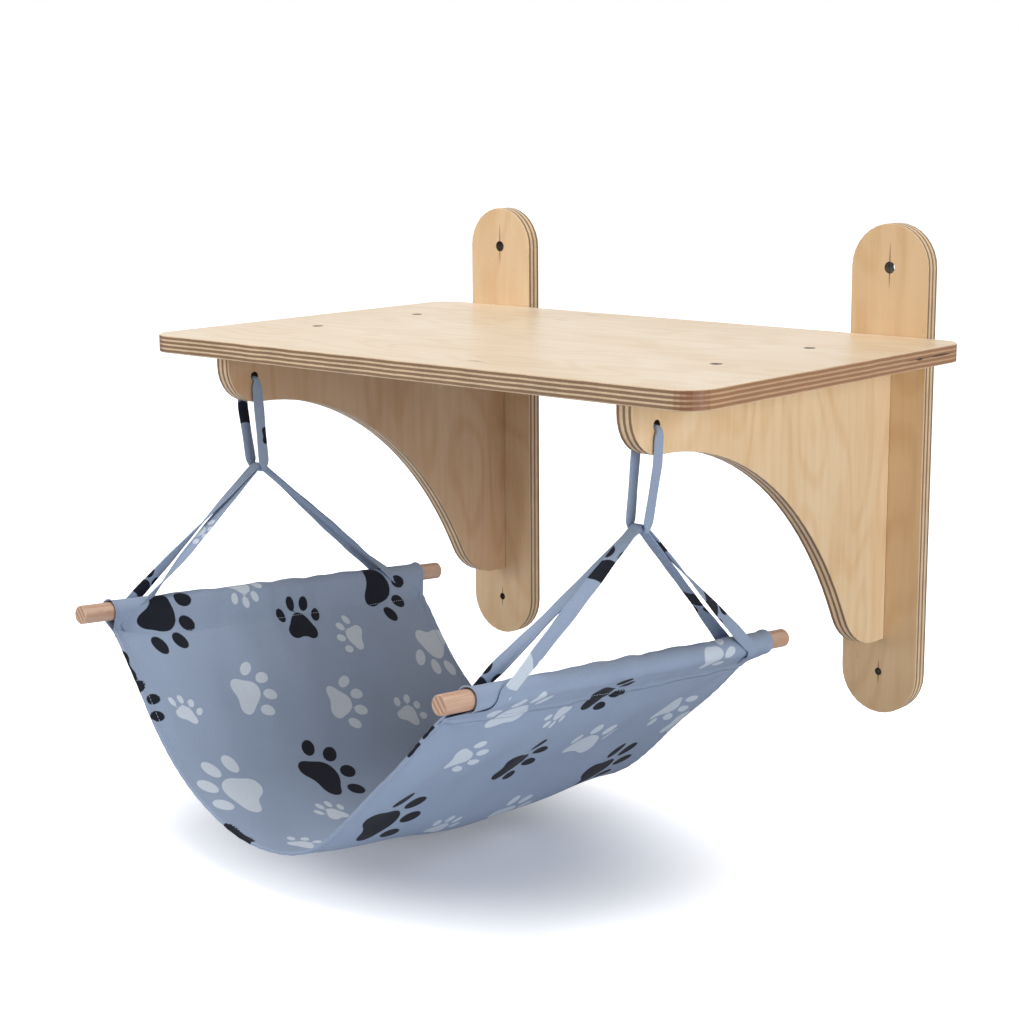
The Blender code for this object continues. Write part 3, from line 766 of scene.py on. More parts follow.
# A paw's pad as round lobes that run into one another (how far ahead of the middle, how far beside it, and
# the radius), and its toes (ahead, beside, lean in radians), all as shares of the pad's width.
PAD_LOBES: tuple[Point, ...] = (
    (0.02, 0.0, 0.24), (-0.15, 0.27, 0.17), (-0.15, -0.27, 0.17), (0.13, 0.0, 0.19))
TOES: tuple[Point, ...] = (
    (0.29, 0.54, 0.5), (0.57, 0.21, 0.15), (0.57, -0.21, -0.15), (0.29, -0.54, -0.5))
TOE_LENGTH, TOE_WIDTH, TOE_SLOPE = 0.185, 0.13, 0.15
LOBE_BLEND = 0.5
FAR_OFF = 9.0


@dataclass(frozen=True)
class Paw:
    """One paw of the print, placed on the flat cloth in millimetres.

    across runs along the cloth's length from the bed's middle, and along from its front to its rear. size is
    the pad's width, and turn the way the toes point, in degrees from across.
    """

    across: float
    along: float
    size: float
    turn: float
    tone: Tone = Tone.DARK

    def distance(self, across: Array, along: Array) -> Array:
        """Signed distance of points of the cloth from the paw's outline, negative inside.

        Args:
            across: the points' places along the cloth's length, in millimetres.
            along: their places from front to rear, in millimetres.

        Returns:
            Distances in millimetres.
        """
        angle = math.radians(self.turn)
        x, y = (across - self.across) / self.size, (along - self.along) / self.size
        ahead, beside = x * math.cos(angle) + y * math.sin(angle), y * math.cos(angle) - x * math.sin(angle)
        best = np.full(x.shape, FAR_OFF)
        for toward, off, radius in PAD_LOBES:
            lobe = np.hypot(ahead - toward, beside - off) - radius
            joined = np.clip(0.5 + (best - lobe) / LOBE_BLEND, 0.0, 1.0)
            best = best * (1 - joined) + lobe * joined - LOBE_BLEND / 2 * joined * (1 - joined)
        for toward, off, lean in TOES:
            dx, dy = ahead - toward, beside - off
            long = dx * math.cos(lean) + dy * math.sin(lean)
            short = dy * math.cos(lean) - dx * math.sin(lean)
            toe = (np.hypot(long / TOE_LENGTH, short / TOE_WIDTH) - 1) * TOE_SLOPE
            best = np.minimum(best, toe)
        return best * self.size


# The bed's paws: across, along, size and turn, as Paw has them.
DARK_BED_PAWS: tuple[tuple[float, ...], ...] = (
    (-304, -164, 57, 48), (-271, 16, 44, 175), (-303, 140, 56, 75), (-101, -50, 59, 113),
    (-204, -231, 42, 80), (-246, -226, 40, 270), (-33, -221, 44, 270), (285, -12, 46, 75),
    (183, -45, 50, 85), (112, 140, 64, 60), (108, -163, 64, 66), (268, -222, 24, 270), (242, -222, 26, 270))

PALE_BED_PAWS: tuple[tuple[float, ...], ...] = (
    (-325, -50, 34, 20), (-251, 83, 33, -110), (-207, -91, 46, 98), (-182, 23, 45, 77),
    (-193, -175, 27, 163), (-94, -160, 62, -130), (-45, -79, 29, -174), (8, -172, 30, 110),
    (-226, 193, 54, -5), (-149, 105, 32, 137), (-78, 62, 44, 20), (217, -145, 38, 86), (189, 52, 50, 5),
    (219, 157, 44, 118), (284, -134, 52, -10), (268, -50, 28, 200), (74, 32, 46, 50), (76, -61, 34, 20),
    (185, 205, 46, 90), (322, 122, 40, 60))

BED_PAWS: tuple[Paw, ...] = (tuple(Paw(*sizes) for sizes in DARK_BED_PAWS)
                             + tuple(Paw(*sizes, Tone.PALE) for sizes in PALE_BED_PAWS))

# The straps were cut from the same cloth, through whatever paws lay there.
LOOP_PATCHES: dict[Side, tuple[Paw, ...]] = {
    Side.LEFT: (Paw(84, 7, 20, 90), Paw(193, -2, 36, 0)),
    Side.RIGHT: (),
}

SLING_PATCHES: dict[tuple[Side, str], tuple[Paw, ...]] = {
    (Side.LEFT, "inner"): (Paw(140, -7, 26, 90, Tone.PALE),),
    (Side.LEFT, "outer"): (Paw(60, 0, 30, 0),),
    (Side.RIGHT, "inner"): (Paw(30, 0, 40, 0), Paw(385, 0, 40, 0)),
    (Side.RIGHT, "outer"): (Paw(78, 0, 44, 90, Tone.PALE), Paw(205, 2, 40, 0), Paw(305, 4, 24, 90),
                            Paw(412, 2, 44, 0)),
}


def print_on(piece: bpy.types.Object, paws: tuple[Paw, ...], across: Array, along: Array) -> None:
    """Store the distance to the print's outlines on a piece's points.

    Args:
        piece: the cloth piece.
        paws: the paws printed on it.
        across: each point's place along the cloth's length, in millimetres.
        along: each point's place from front to rear, in millimetres.
    """
    beyond = 6.0
    for tone in Tone:
        nearest = np.full(across.shape, beyond)
        for paw in paws:
            if paw.tone is tone:
                nearest = np.minimum(nearest, paw.distance(across, along))
        attribute = piece.data.attributes.new(tone.value, "FLOAT", "POINT")
        attribute.data.foreach_set("value", nearest.astype(np.float32))


# Woodwork


def ply_gap(y_mm: float, z_mm: float, length_mm: float, height_mm: float, strength: float) -> Mark:
    """A gap between plies, seen as a dark line on the board's right edge.

    Args:
        y_mm: its middle along the edge.
        z_mm: its height.
        length_mm: half its length.
        height_mm: half its height.
        strength: how dark it is.

    Returns:
        The mark.
    """
    return Mark((350 * MM, y_mm * MM, z_mm * MM), (20 * MM, length_mm * MM, height_mm * MM), strength,
                "3f2a1c", core=0.8)


def pin_knot(x_mm: float, y_mm: float, strength: float) -> Mark:
    """A short brown streak in the board's top veneer, along X.

    Args:
        x_mm: its place along the board.
        y_mm: its place from front to rear.
        strength: how dark it is.

    Returns:
        The mark.
    """
    return Mark((x_mm * MM, y_mm * MM, 0.0), (11 * MM, 3.5 * MM, 10 * MM), strength, "7a5a3c", core=0.3)


PLY_GAPS = (ply_gap(-90, -8.0, 42, 0.8, 0.55), ply_gap(-70, -7.9, 16, 1.0, 0.9),
            ply_gap(-109, -8.2, 6, 1.2, 0.9))
PIN_KNOTS = (pin_knot(71, -427, 0.6), pin_knot(-96, -104, 0.4), pin_knot(-102, -44, 0.6))


@dataclass
class Woodwork:
    """The board, planks and brackets, with their screws: CAD nodes that get their finishes here."""

    plank_x: float = 260.0 * MM
    bracket_shift: float = -3.5 * MM
    ply: float = 18.0 * MM
    upper_hole: float = 68.0 * MM
    lower_hole: float = -350.0 * MM
    strap_hole: Point = (0.0, -408.0 * MM, -43.0 * MM)
    # Radii of the holes, and how far past them a hole's wall still gets its painted shade.
    wide_bore: float = 6.0 * MM
    strap_bore: float = 5.0 * MM
    narrow_bore: float = 4.0 * MM
    slack: float = 0.4 * MM
    # The pencil lines' reach below and above the upper hole, and either way from the lower one.
    upper_line: tuple[float, float] = (22 * MM, 26 * MM)
    lower_line: tuple[float, float] = (13 * MM, 13 * MM)
    board_veneer: tuple[str, str] = ("ead7bc", "dcc09a")
    # The right plank's veneer is darker than the left one's: painted shade.
    plank_veneers: dict[Side, tuple[str, str]] = field(
        default_factory=lambda: {Side.LEFT: ("e9cda7", "dab487"), Side.RIGHT: ("dcbd94", "cba577")})
    # The left bracket's veneer is darker and the right one's lighter: painted shade and painted light.
    bracket_veneers: dict[Side, tuple[str, str]] = field(
        default_factory=lambda: {Side.LEFT: ("d8b896", "c69c75"), Side.RIGHT: ("ecd3ae", "ddb98a")})

    def dress(self, nodes: dict[str, bpy.types.Object]) -> None:
        """Give each node its finish.

        Args:
            nodes: the CAD nodes by name.
        """
        # The screws' countersunk mouths get painted shade on their walls too.
        mouths = tuple(Hole(self.middle_of(name), self.wide_bore + self.slack)
                       for name in nodes if "_shelf_screw_" in name)
        face, warm = self.board_veneer
        board = BirchPlywood("birch_plywood_board", Axis.Z, -self.ply, Axis.X, plies=9, face=face, warm=warm,
                             brown_share=0.68, gloss=0.3, relief=0.03, scorch=1.0, holes=mouths,
                             face_marks=PIN_KNOTS, edge_marks=PLY_GAPS)
        dress(nodes["shelf_board"], board.material())
        steel = BronzedSteel().material()
        for side in Side:
            dress(nodes[f"{side.word}_wall_plank"], self.plank(side).material())
            dress(nodes[f"{side.word}_bracket"], self.bracket(side).material())
            for name, node in nodes.items():
                if name.startswith(side.word) and "_screw_" in name:
                    dress(node, steel)
        log.info("woodwork: board, 2 planks, 2 brackets and 8 screws dressed")

    def plank(self, side: Side) -> BirchPlywood:
        """A wall plank's finish, with its pencil lines and drilled holes, whose walls get painted shade.

        Args:
            side: which plank.

        Returns:
            The finish.
        """
        x = side.value * self.plank_x
        lines = tuple(PencilLine(x, z - below, z + above) for z, (below, above) in
                      ((self.upper_hole, self.upper_line), (self.lower_hole, self.lower_line)))
        holes = tuple(Hole((x, 0.0, z), bore + self.slack) for z, bore in
                      ((self.upper_hole, self.wide_bore), (self.lower_hole, self.narrow_bore)))
        # These veneer colours carry painted shade on the right plank.
        face, warm = self.plank_veneers[side]
        return BirchPlywood(f"birch_plywood_{side.word}_plank", Axis.Y, -self.ply, Axis.Z, face=face,
                            warm=warm, lines=lines, holes=holes)

    def bracket(self, side: Side) -> BirchPlywood:
        """A bracket's finish, with its drilled strap hole, whose wall gets painted shade.

        Args:
            side: which bracket.

        Returns:
            The finish.
        """
        start = side.value * self.plank_x + self.bracket_shift - self.ply / 2
        # These veneer colours carry painted shade on the left bracket and painted light on the right one.
        face, warm = self.bracket_veneers[side]
        return BirchPlywood(f"birch_plywood_{side.word}_bracket", Axis.X, start, Axis.Z, face=face, warm=warm,
                            holes=(Hole(self.strap_hole, self.strap_bore + self.slack),))

    @staticmethod
    def middle_of(name: str) -> tuple[float, ...]:
        """The middle of a node's box."""
        low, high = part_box(name)
        return tuple((first + second) / 2 for first, second in zip(low, high))


# The hammock's cloth


def uneven_wave(run: Array, pitch: float, wander: float, over: float, phase: Array | float = 0.0) -> Array:
    """A wave whose phase wanders, so that no two folds are alike.

    Args:
        run: places along the wave, in millimetres.
        pitch: the wave's length in millimetres, divided by tau.
        wander: how far its phase wanders, in radians.
        over: the length over which it wanders, divided by tau.
        phase: a shift of the wave, in radians.

    Returns:
        Values from -1 to 1.
    """
    return np.sin(run / pitch + wander * np.sin(run / over) + phase)


def uneven_strength(phase: Array) -> Array:
    """A strength that comes and goes between 0.2 and 1 with a phase."""
    return 0.6 + 0.4 * np.sin(phase)


def bell(distance: Array, reach: float) -> Array:
    """1 at no distance, falling off softly on both sides over the reach."""
    return np.exp(-(distance / reach) ** 2)


@dataclass
class ClothGrid:
    """A sheet of cloth as a grid of points of its middle surface, with its flat coordinates."""

    points: Array
    flat: Array
    thickness: Array
    normals: Array = field(init=False)

    def __post_init__(self) -> None:
        """Find the first normals."""
        self.find_normals()

    def find_normals(self) -> None:
        """Work out the middle surface's normals."""
        self.normals = unit(np.cross(np.gradient(self.points, axis=0), np.gradient(self.points, axis=1)))

    def move(self, distance: Array) -> None:
        """Move the middle surface along its normals, and find the new normals.

        Args:
            distance: how far each point moves.
        """
        self.points = self.points + self.normals * distance[..., None]
        self.find_normals()

    def build(self, name: str) -> bpy.types.Object:
        """Make the closed mesh: two faces a thickness apart, joined round the rim.

        Args:
            name: the piece's name.

        Returns:
            The new object, smooth, with a UV map in metres.
        """
        rows, columns = self.points.shape[:2]
        half = (self.thickness / 2)[..., None] * self.normals
        verts = np.concatenate([(self.points + half).reshape(-1, 3), (self.points - half).reshape(-1, 3)])
        index = np.arange(rows * columns).reshape(rows, columns)
        top = np.stack([index[:-1, :-1], index[1:, :-1], index[1:, 1:], index[:-1, 1:]], axis=-1)
        top = top.reshape(-1, 4)
        below = top[:, ::-1] + rows * columns
        rim = np.concatenate([index[:-1, 0], index[-1, :-1], index[:0:-1, -1], index[0, :0:-1]])
        after = np.roll(rim, -1)
        wall = np.stack([after, rim, rim + rows * columns, after + rows * columns], axis=-1)
        mesh = bpy.data.meshes.new(name)
        mesh.from_pydata(verts.tolist(), [], np.concatenate([top, below, wall]).tolist())
        lay_flat(mesh, np.tile(self.flat.reshape(-1, 2), (2, 1)))
        return add_piece(name, mesh)


@dataclass(frozen=True)
class ClothRelief:
    """How far the cloth stands out of its smooth form: gathers, folds and waves, all in millimetres.

    across and along are places on the flat cloth, from the bed's middle. half_width is the hems' distance
    from it, and seam the seams'.
    """

    across: Array
    along: Array
    half_width: float
    seam: float

    @property
    def past_seam(self) -> Array:
        """How far past its seam a point lies: positive in the sleeve, negative on the bed."""
        return np.abs(self.across) - self.seam

    @property
    def to_hem(self) -> Array:
        """How far a point lies from the nearest hem."""
        return self.half_width - np.abs(self.along)

    def total(self) -> Array:
        """Everything together.

        Returns:
            Distances along the cloth's normals, in metres.
        """
        sleeve = self.gathers() + self.bulges() - self.tucks()
        # Where the slings are sewn in, the doubled cloth stays smooth.
        free = smooth_step((self.to_hem - 38) / 24)
        sleeve = sleeve * np.where(self.past_seam > -12, free, 1.0)
        return (sleeve + self.hem_ripples() + self.waves() + self.pleats() + self.creases()) * MM

    def gathers(self) -> Array:
        """Fine gathers drawn up by the seam's stitches, and longer ones above them in the sleeve."""
        s, y = self.across, self.along
        fine = uneven_wave(y, pitch=1.55, wander=1.7, over=13) * uneven_strength(y / 31 + s / 40)
        long = uneven_wave(y, pitch=5.4, wander=2.0, over=37) * np.sin(y / 53 + 1.0)
        return 0.4 * fine * np.exp(-np.abs(self.past_seam) / 7) + 0.75 * long * bell(self.past_seam - 6, 30)

    def bulges(self) -> Array:
        """Soft bulges of the sleeve, where it is looser on its dowel."""
        y, side = self.along, np.sign(self.across)
        soft = uneven_wave(y, pitch=11, wander=1.3, over=29, phase=side) + 0.6 * np.sin(y / 6.3 + 2 * side)
        return 0.55 * soft * smooth_step((self.past_seam - 4) / 14)

    def tucks(self) -> Array:
        """The dent just below a seam, where its stitches pull the bed in."""
        return 0.6 * bell(self.past_seam + 9, 7) * uneven_strength(self.along / 17 + self.across / 60)

    def hem_ripples(self) -> Array:
        """Small ripples along the stitched hems."""
        return 0.22 * uneven_wave(self.across, pitch=2.4, wander=1.5, over=21) * np.exp(-self.to_hem / 9)

    def waves(self) -> Array:
        """Broad soft waves of the hanging bed, which die out towards its seams."""
        s, y = self.across, self.along
        soft = (np.sin(s / 41 + y / 57 + 0.6) * np.sin(y / 38 - s / 90)
                + 0.6 * np.sin(s / 23 - y / 49 + 2.1) * np.sin(y / 61 + 0.4))
        return 1.9 * soft * np.clip(-self.past_seam / 40, 0, 1)

    def pleats(self) -> Array:
        """Folds that run down from the seams into the bed."""
        y, below = self.along, np.maximum(-self.past_seam, 0)
        folds = uneven_wave(y, pitch=8.5, wander=1.8, over=33, phase=np.sign(self.across))
        return 0.95 * folds * uneven_strength(y / 47 + 2.0) * bell(below, 48) * smooth_step(below / 10)

    def creases(self) -> Array:
        """Creases that fan out of the bed's four corners, where the slings draw it up."""
        out = np.zeros_like(self.across)
        for end in (-1.0, 1.0):
            for start in (-1.0, 1.0):
                below, beside = self.seam - start * self.across, self.half_width - end * self.along
                bearing = np.arctan2(beside, np.maximum(below, 0.01))
                far = np.hypot(below, beside)
                fan = np.sin(bearing * 9 + 0.7) * np.exp(-far / 55) * np.clip(far / 20, 0, 1)
                out += 1.3 * fan * (below > 0)
        return out


# How the slings draw the corners of the bed's seams: the distance from the dowel's middle, in millimetres,
# and the angle in degrees, at a sleeve's front end (True) and rear end (False).
SEAM_CORNERS: dict[tuple[Side, bool], tuple[float, float]] = {
    (Side.LEFT, True): (19.0, -64.0), (Side.LEFT, False): (26.0, -62.0),
    (Side.RIGHT, True): (33.0, -38.0), (Side.RIGHT, False): (27.0, -50.0)}


@dataclass
class HammockFrame:
    """Where the hammock hangs, and how its straps and dowels lie: the CAD's own sizes."""

    plank_x: float = 260.0 * MM
    shift: float = -3.5 * MM
    hole_y: float = -408.0 * MM
    hole_z: float = -43.0 * MM
    loop_length: float = 96.2 * MM
    pitch: float = math.radians(5.08)
    setback: float = 15.0 * MM
    sling_height: float = 128.5 * MM
    dowel_inwards: float = 24.6 * MM
    ply: float = 18.0 * MM

    @staticmethod
    def corner(side: Side, front: bool) -> tuple[float, float]:
        """How the slings draw a corner of the bed's seam: its distance from the dowel's middle and its angle.

        Args:
            side: which sleeve.
            front: whether it is the sleeve's front end.

        Returns:
            The distance and the angle.
        """
        reach_mm, degrees = SEAM_CORNERS[side, front]
        return reach_mm * MM, math.radians(degrees)

    @property
    def junction_inwards(self) -> float:
        """How far in from a bracket's middle plane the slings hang in their loop."""
        return (self.dowel_inwards * self.loop_length
                / (self.loop_length + self.sling_height * math.cos(self.pitch)))

    def middle(self, side: Side) -> float:
        """A bracket's middle plane along X."""
        return side.value * self.plank_x + self.shift

    def to_row(self, points: Array) -> Array:
        """Take points of the hammock's own frame to the row frame.

        Args:
            points: an array whose last axis is x, y and z in the hammock's frame.

        Returns:
            The same points in the row frame.
        """
        x, y, z = points[..., 0], points[..., 1], points[..., 2]
        cos, sin = math.cos(self.pitch), math.sin(self.pitch)
        return np.stack([x, self.hole_y + y * cos + z * sin,
                         self.hole_z - self.loop_length - y * sin + z * cos], axis=-1)


@dataclass
class HammockCloth:
    """The bed and its two sleeves: one cloth, turned over the dowels and sewn down along its seams."""

    hang: HammockFrame
    width: float = 432.0 * MM
    thickness: float = 1.2 * MM
    step: float = 3.0 * MM
    # The sleeve about its dowel, and where its seam lies away from the corners.
    sleeve_radius: float = 9.9 * MM
    tip: float = 29.2 * MM
    tip_angle: float = math.radians(-50.0)
    end_reach: float = 55.0 * MM
    end_margin: float = 4.0 * MM
    flare: float = 1.8 * MM
    flare_reach: float = 3.2 * MM
    wrap_points: int = 30
    upper_points: int = 7
    # The turned-under allowance and the under flank, as rows of the grid, and how far under they lie.
    allowance: float = 9.0 * MM
    fold_gap: float = 1.5 * MM
    fold_rows: int = 3
    flank_rows: int = 8
    # The hem: its width, the columns of points in it, and its depth at each, rolled at the rim and stitched.
    hem: float = 9.0 * MM
    hem_columns: int = 9
    hem_places: tuple[float, ...] = (0.0, 0.3, 0.8, 1.6, 2.6, 3.4, 4.0, 4.6, 5.4, 7.0)
    hem_depths: tuple[float, ...] = (1.0, 2.0, 2.7, 3.0, 2.9, 2.4, 1.5, 1.1, 1.5, 1.9)
    # The bed's hang: a hyperbola of this sag and waist, with a belly between front and rear.
    sag: float = 183.0 * MM
    waist: float = 160.0 * MM
    belly: float = 12.0 * MM
    fold_depth: float = 2.2 * MM
    fold_pitch: float = 62.0 * MM
    fold_reach: float = 70.0 * MM
    # How far the bed leans sideways, in millimetres, at places from seam to seam. The front leans most.
    lean_at: tuple[float, ...] = (-1.0, -0.8, -0.65, -0.5, -0.38, -0.25, -0.1, 0.0, 0.1, 0.2, 0.35, 0.5, 0.65,
                                  0.8, 1.0)
    lean_mm: tuple[float, ...] = (0.0, -5.5, -13.0, -18.0, -19.0, -17.0, -14.0, -8.0, 1.0, 4.5, 0.5, -7.0,
                                  -10.0, -5.5, 0.0)
    lean_middle: float = 0.82
    lean_front: float = 0.18
    # Where the right sleeve's print starts, and how far it is shifted: its cloth was turned over.
    turned_over_mm: float = 26.0
    print_shift_mm: float = 91.0
    grid: ClothGrid | None = None
    seam_rows: tuple[int, int] = (0, 0)

    def bed_height(self, across: Array, along: Array) -> Array:
        """Height of the bed's middle surface in the hammock's frame.

        Args:
            across: from -1 to 1 between the seams.
            along: from -1 to 1 from front to rear.

        Returns:
            Heights in metres.
        """
        seam_inwards, seam_height = self.seam
        half = self.hang.plank_x - seam_inwards
        depth = self.sag + self.hang.sling_height + seam_height
        curve = depth / (math.sqrt(1 + (half / self.waist) ** 2) - 1)
        hang = curve * (np.sqrt(1 + (across * half / self.waist) ** 2) - 1)
        hang = hang - self.sag - self.hang.sling_height
        fullness = np.cos(across * math.pi / 2)
        belly = self.belly * fullness * (1 - along * along)
        to_seam = half * (1 - np.abs(across))
        ripple = smooth_step(to_seam / self.fold_reach) * (1 - smooth_step(to_seam / self.fold_reach - 0.8))
        wave = np.sin(math.tau * along * self.width / 2 / self.fold_pitch + across)
        drape = np.sin(math.pi * (1 - np.abs(along)) * 1.5) * fullness * (1 - np.abs(across))
        return hang - belly - self.fold_depth * (ripple * wave - drape)

    @property
    def seam(self) -> tuple[float, float]:
        """Where the bed leaves a sleeve's seam: distance in from the bracket, and height."""
        return (self.hang.dowel_inwards + self.tip * math.cos(self.tip_angle),
                self.tip * math.sin(self.tip_angle) - self.hang.sling_height)

    def tip_at(self, side: Side, y: float) -> tuple[float, float]:
        """How far the seam lies from the dowel's middle, and at what angle: the slings draw its ends.

        Args:
            side: which sleeve.
            y: place along the dowel from the cloth's middle.

        Returns:
            The distance and the angle.
        """
        free = float(smooth_step((self.width / 2 - abs(y) - self.end_margin) / self.end_reach))
        end_tip, end_angle = self.hang.corner(side, y < 0)
        return end_tip + (self.tip - end_tip) * free, end_angle + (self.tip_angle - end_angle) * free

    def sleeve_path(self, side: Side, y: float) -> Array:
        """The sleeve's section about the dowel, from the seam's end over the dowel to the bed.

        Args:
            side: which sleeve.
            y: place along the dowel from the cloth's middle.

        Returns:
            Points (inwards, height) about the dowel's middle, from the turned-under end to the seam.
        """
        tip_reach, tip_angle = self.tip_at(side, y)
        radius = self.sleeve_radius + self.flare * math.exp(-(self.width / 2 - abs(y)) / self.flare_reach)
        flank = math.acos(radius / tip_reach)
        wrap = np.linspace(tip_angle - flank + math.tau, tip_angle + flank, self.wrap_points)
        round_part = radius * np.stack([np.cos(wrap), np.sin(wrap)], axis=-1)
        tip = tip_reach * np.array([math.cos(tip_angle), math.sin(tip_angle)])
        under_angle = tip_angle - math.pi / 2
        under_tip = tip + self.fold_gap * np.array([math.cos(under_angle), math.sin(under_angle)])
        down = np.array([math.cos(self.tip_angle), math.sin(self.tip_angle)])
        below = [under_tip + down * self.allowance * share for share in (1.0, 0.66, 0.33)]
        under = [under_tip + (round_part[0] - under_tip) * step / self.flank_rows
                 for step in range(self.flank_rows)]
        upper = [round_part[-1] + (tip - round_part[-1]) * share
                 for share in np.linspace(0, 1, self.upper_points + 2)[1:-1]]
        return np.array(below + under + list(round_part) + upper)

    def column_places(self) -> Array:
        """Places of the grid's columns from front to rear, close together in the hems.

        Returns:
            Distances from the cloth's middle.
        """
        half = self.width / 2
        edge = np.array(self.hem_places) * MM
        inner = np.linspace(-half + self.hem, half - self.hem, int((self.width - 2 * self.hem) / self.step))
        return np.concatenate([-half + edge, inner, half - edge[::-1]])

    def sleeve_grid(self, side: Side, y: Array) -> Array:
        """A sleeve's points in the hammock's frame, from the turned-under end to the seam.

        Args:
            side: which sleeve.
            y: the columns' places.

        Returns:
            The points, by row and column.
        """
        section = np.stack([self.sleeve_path(side, place) for place in y], axis=1)
        x = side.value * (self.hang.plank_x - self.hang.dowel_inwards - section[..., 0])
        z = section[..., 1] - self.hang.sling_height
        return np.stack([x, np.broadcast_to(y, x.shape), z], axis=-1)

    def bed_grid(self, y: Array) -> Array:
        """The bed's points in the hammock's frame, from the left seam to the right one.

        Args:
            y: the columns' places.

        Returns:
            The points, by row and column.
        """
        reach = self.hang.plank_x - self.seam[0]
        # The bed's curve is about 1.35 times as long as its span, and its rows lie closer towards the seams.
        share = np.linspace(-1, 1, int(2 * reach * 1.35 / self.step))
        rows = share * (1.12 - 0.12 * share * share)
        across, along = np.broadcast_arrays(rows[:, None], y[None, :] / (self.width / 2))
        height = self.bed_height(across, along)
        bed = np.stack([across * reach, np.broadcast_to(y, across.shape), height], axis=-1)
        drawn = np.zeros_like(bed)
        for side in Side:
            half_bed = np.sign(rows) == side.value
            for column, place in enumerate(y):
                tip, angle = self.tip_at(side, place)
                drawn[half_bed, column, 0] = -side.value * (tip * math.cos(angle)
                                                            - self.tip * math.cos(self.tip_angle))
                drawn[half_bed, column, 2] = tip * math.sin(angle) - self.tip * math.sin(self.tip_angle)
        bed += drawn * smooth_step((np.abs(across) - 0.45) / 0.55)[..., None]
        lean = eased(rows, np.array(self.lean_at), np.array(self.lean_mm)) * MM
        bed[..., 0] += lean[:, None] * (self.lean_middle - self.lean_front * along)
        return bed

    def fold_under(self, smooth: Array) -> None:
        """Lay the turned-under allowances and the sleeves' under flanks against the cloth above them.

        Args:
            smooth: the grid's points before they were moved out of their smooth form.
        """
        grid, (first, last) = self.grid, self.seam_rows
        for seam_row, edge, step in ((first, 0, 1), (last, len(grid.points) - 1, -1)):
            shift = grid.points[seam_row] - smooth[seam_row]
            for k in range(self.flank_rows):
                row = edge + step * (self.fold_rows + k)
                own = grid.points[row] - smooth[row]
                grid.points[row] = smooth[row] + shift + (own - shift) * k / self.flank_rows
            for k in range(self.fold_rows):
                over = seam_row + step * (self.fold_rows - k)
                grid.points[edge + step * k] = grid.points[over] - grid.normals[over] * self.fold_gap
        grid.find_normals()

    def build(self) -> bpy.types.Object:
        """Make the cloth, print it and hang it in the slings.

        Returns:
            The cloth piece.
        """
        y = self.column_places()
        left, bed = self.sleeve_grid(Side.LEFT, y), self.bed_grid(y)
        points = np.concatenate([left, bed, self.sleeve_grid(Side.RIGHT, y)[::-1]])
        first, last = self.seam_rows = (len(left), len(left) + len(bed) - 1)
        run = run_along(points[:, len(y) // 2])
        run -= run[len(left) + len(bed) // 2]
        flat = np.stack(np.broadcast_arrays(run[:, None], y[None, :]), axis=-1)
        thickness = np.full(points.shape[:2], self.thickness)
        thickness[first:last + 1] = MM * np.interp(
            (self.width / 2 - np.abs(y)) / MM, (*self.hem_places, self.hem / MM),
            (*self.hem_depths, self.thickness / MM))
        points += np.array([self.hang.shift, self.hang.setback, 0.0])
        self.grid = ClothGrid(self.hang.to_row(points), flat, thickness)
        smooth = self.grid.points
        seam = float(run[last]) / MM
        self.grid.move(ClothRelief(flat[..., 0] / MM, flat[..., 1] / MM, self.width / 2 / MM, seam).total())
        self.fold_under(smooth)
        piece = self.grid.build("hammock_cloth")
        across, along = np.tile(flat.reshape(-1, 2), (2, 1)).T / MM
        turned = 2 * seam + self.print_shift_mm - across
        print_on(piece, BED_PAWS, np.where(across > seam + self.turned_over_mm, turned, across), along)
        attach(piece, "hammock")
        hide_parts("hammock_bed", "left_sleeve", "right_sleeve")
        return piece

    def sew(self) -> bpy.types.Object:
        """Sew the sleeves' seams and allowances, on the outward face, and the two hems, on both faces.

        Returns:
            The stitches, as one piece.
        """
        grid, (first, last) = self.grid, self.seam_rows
        rows, columns = grid.points.shape[:2]
        sewing = Stitching()
        ends = slice(3, -3)
        fold = self.fold_rows - 1
        for row in (first + 1, last - 1, fold, rows - 1 - fold):
            normals = grid.normals[row, ends]
            sewing.row(grid.points[row, ends] + self.thickness / 2 * normals, normals)
        for column in (self.hem_columns, columns - 1 - self.hem_columns):
            for face in (1.0, -1.0):
                half = face * grid.thickness[first:last + 1, column, None] / 2
                normals = grid.normals[first:last + 1, column]
                sewing.row(grid.points[first:last + 1, column] + half * normals, face * normals)
        return sewing.build("hammock_stitches", "hammock")


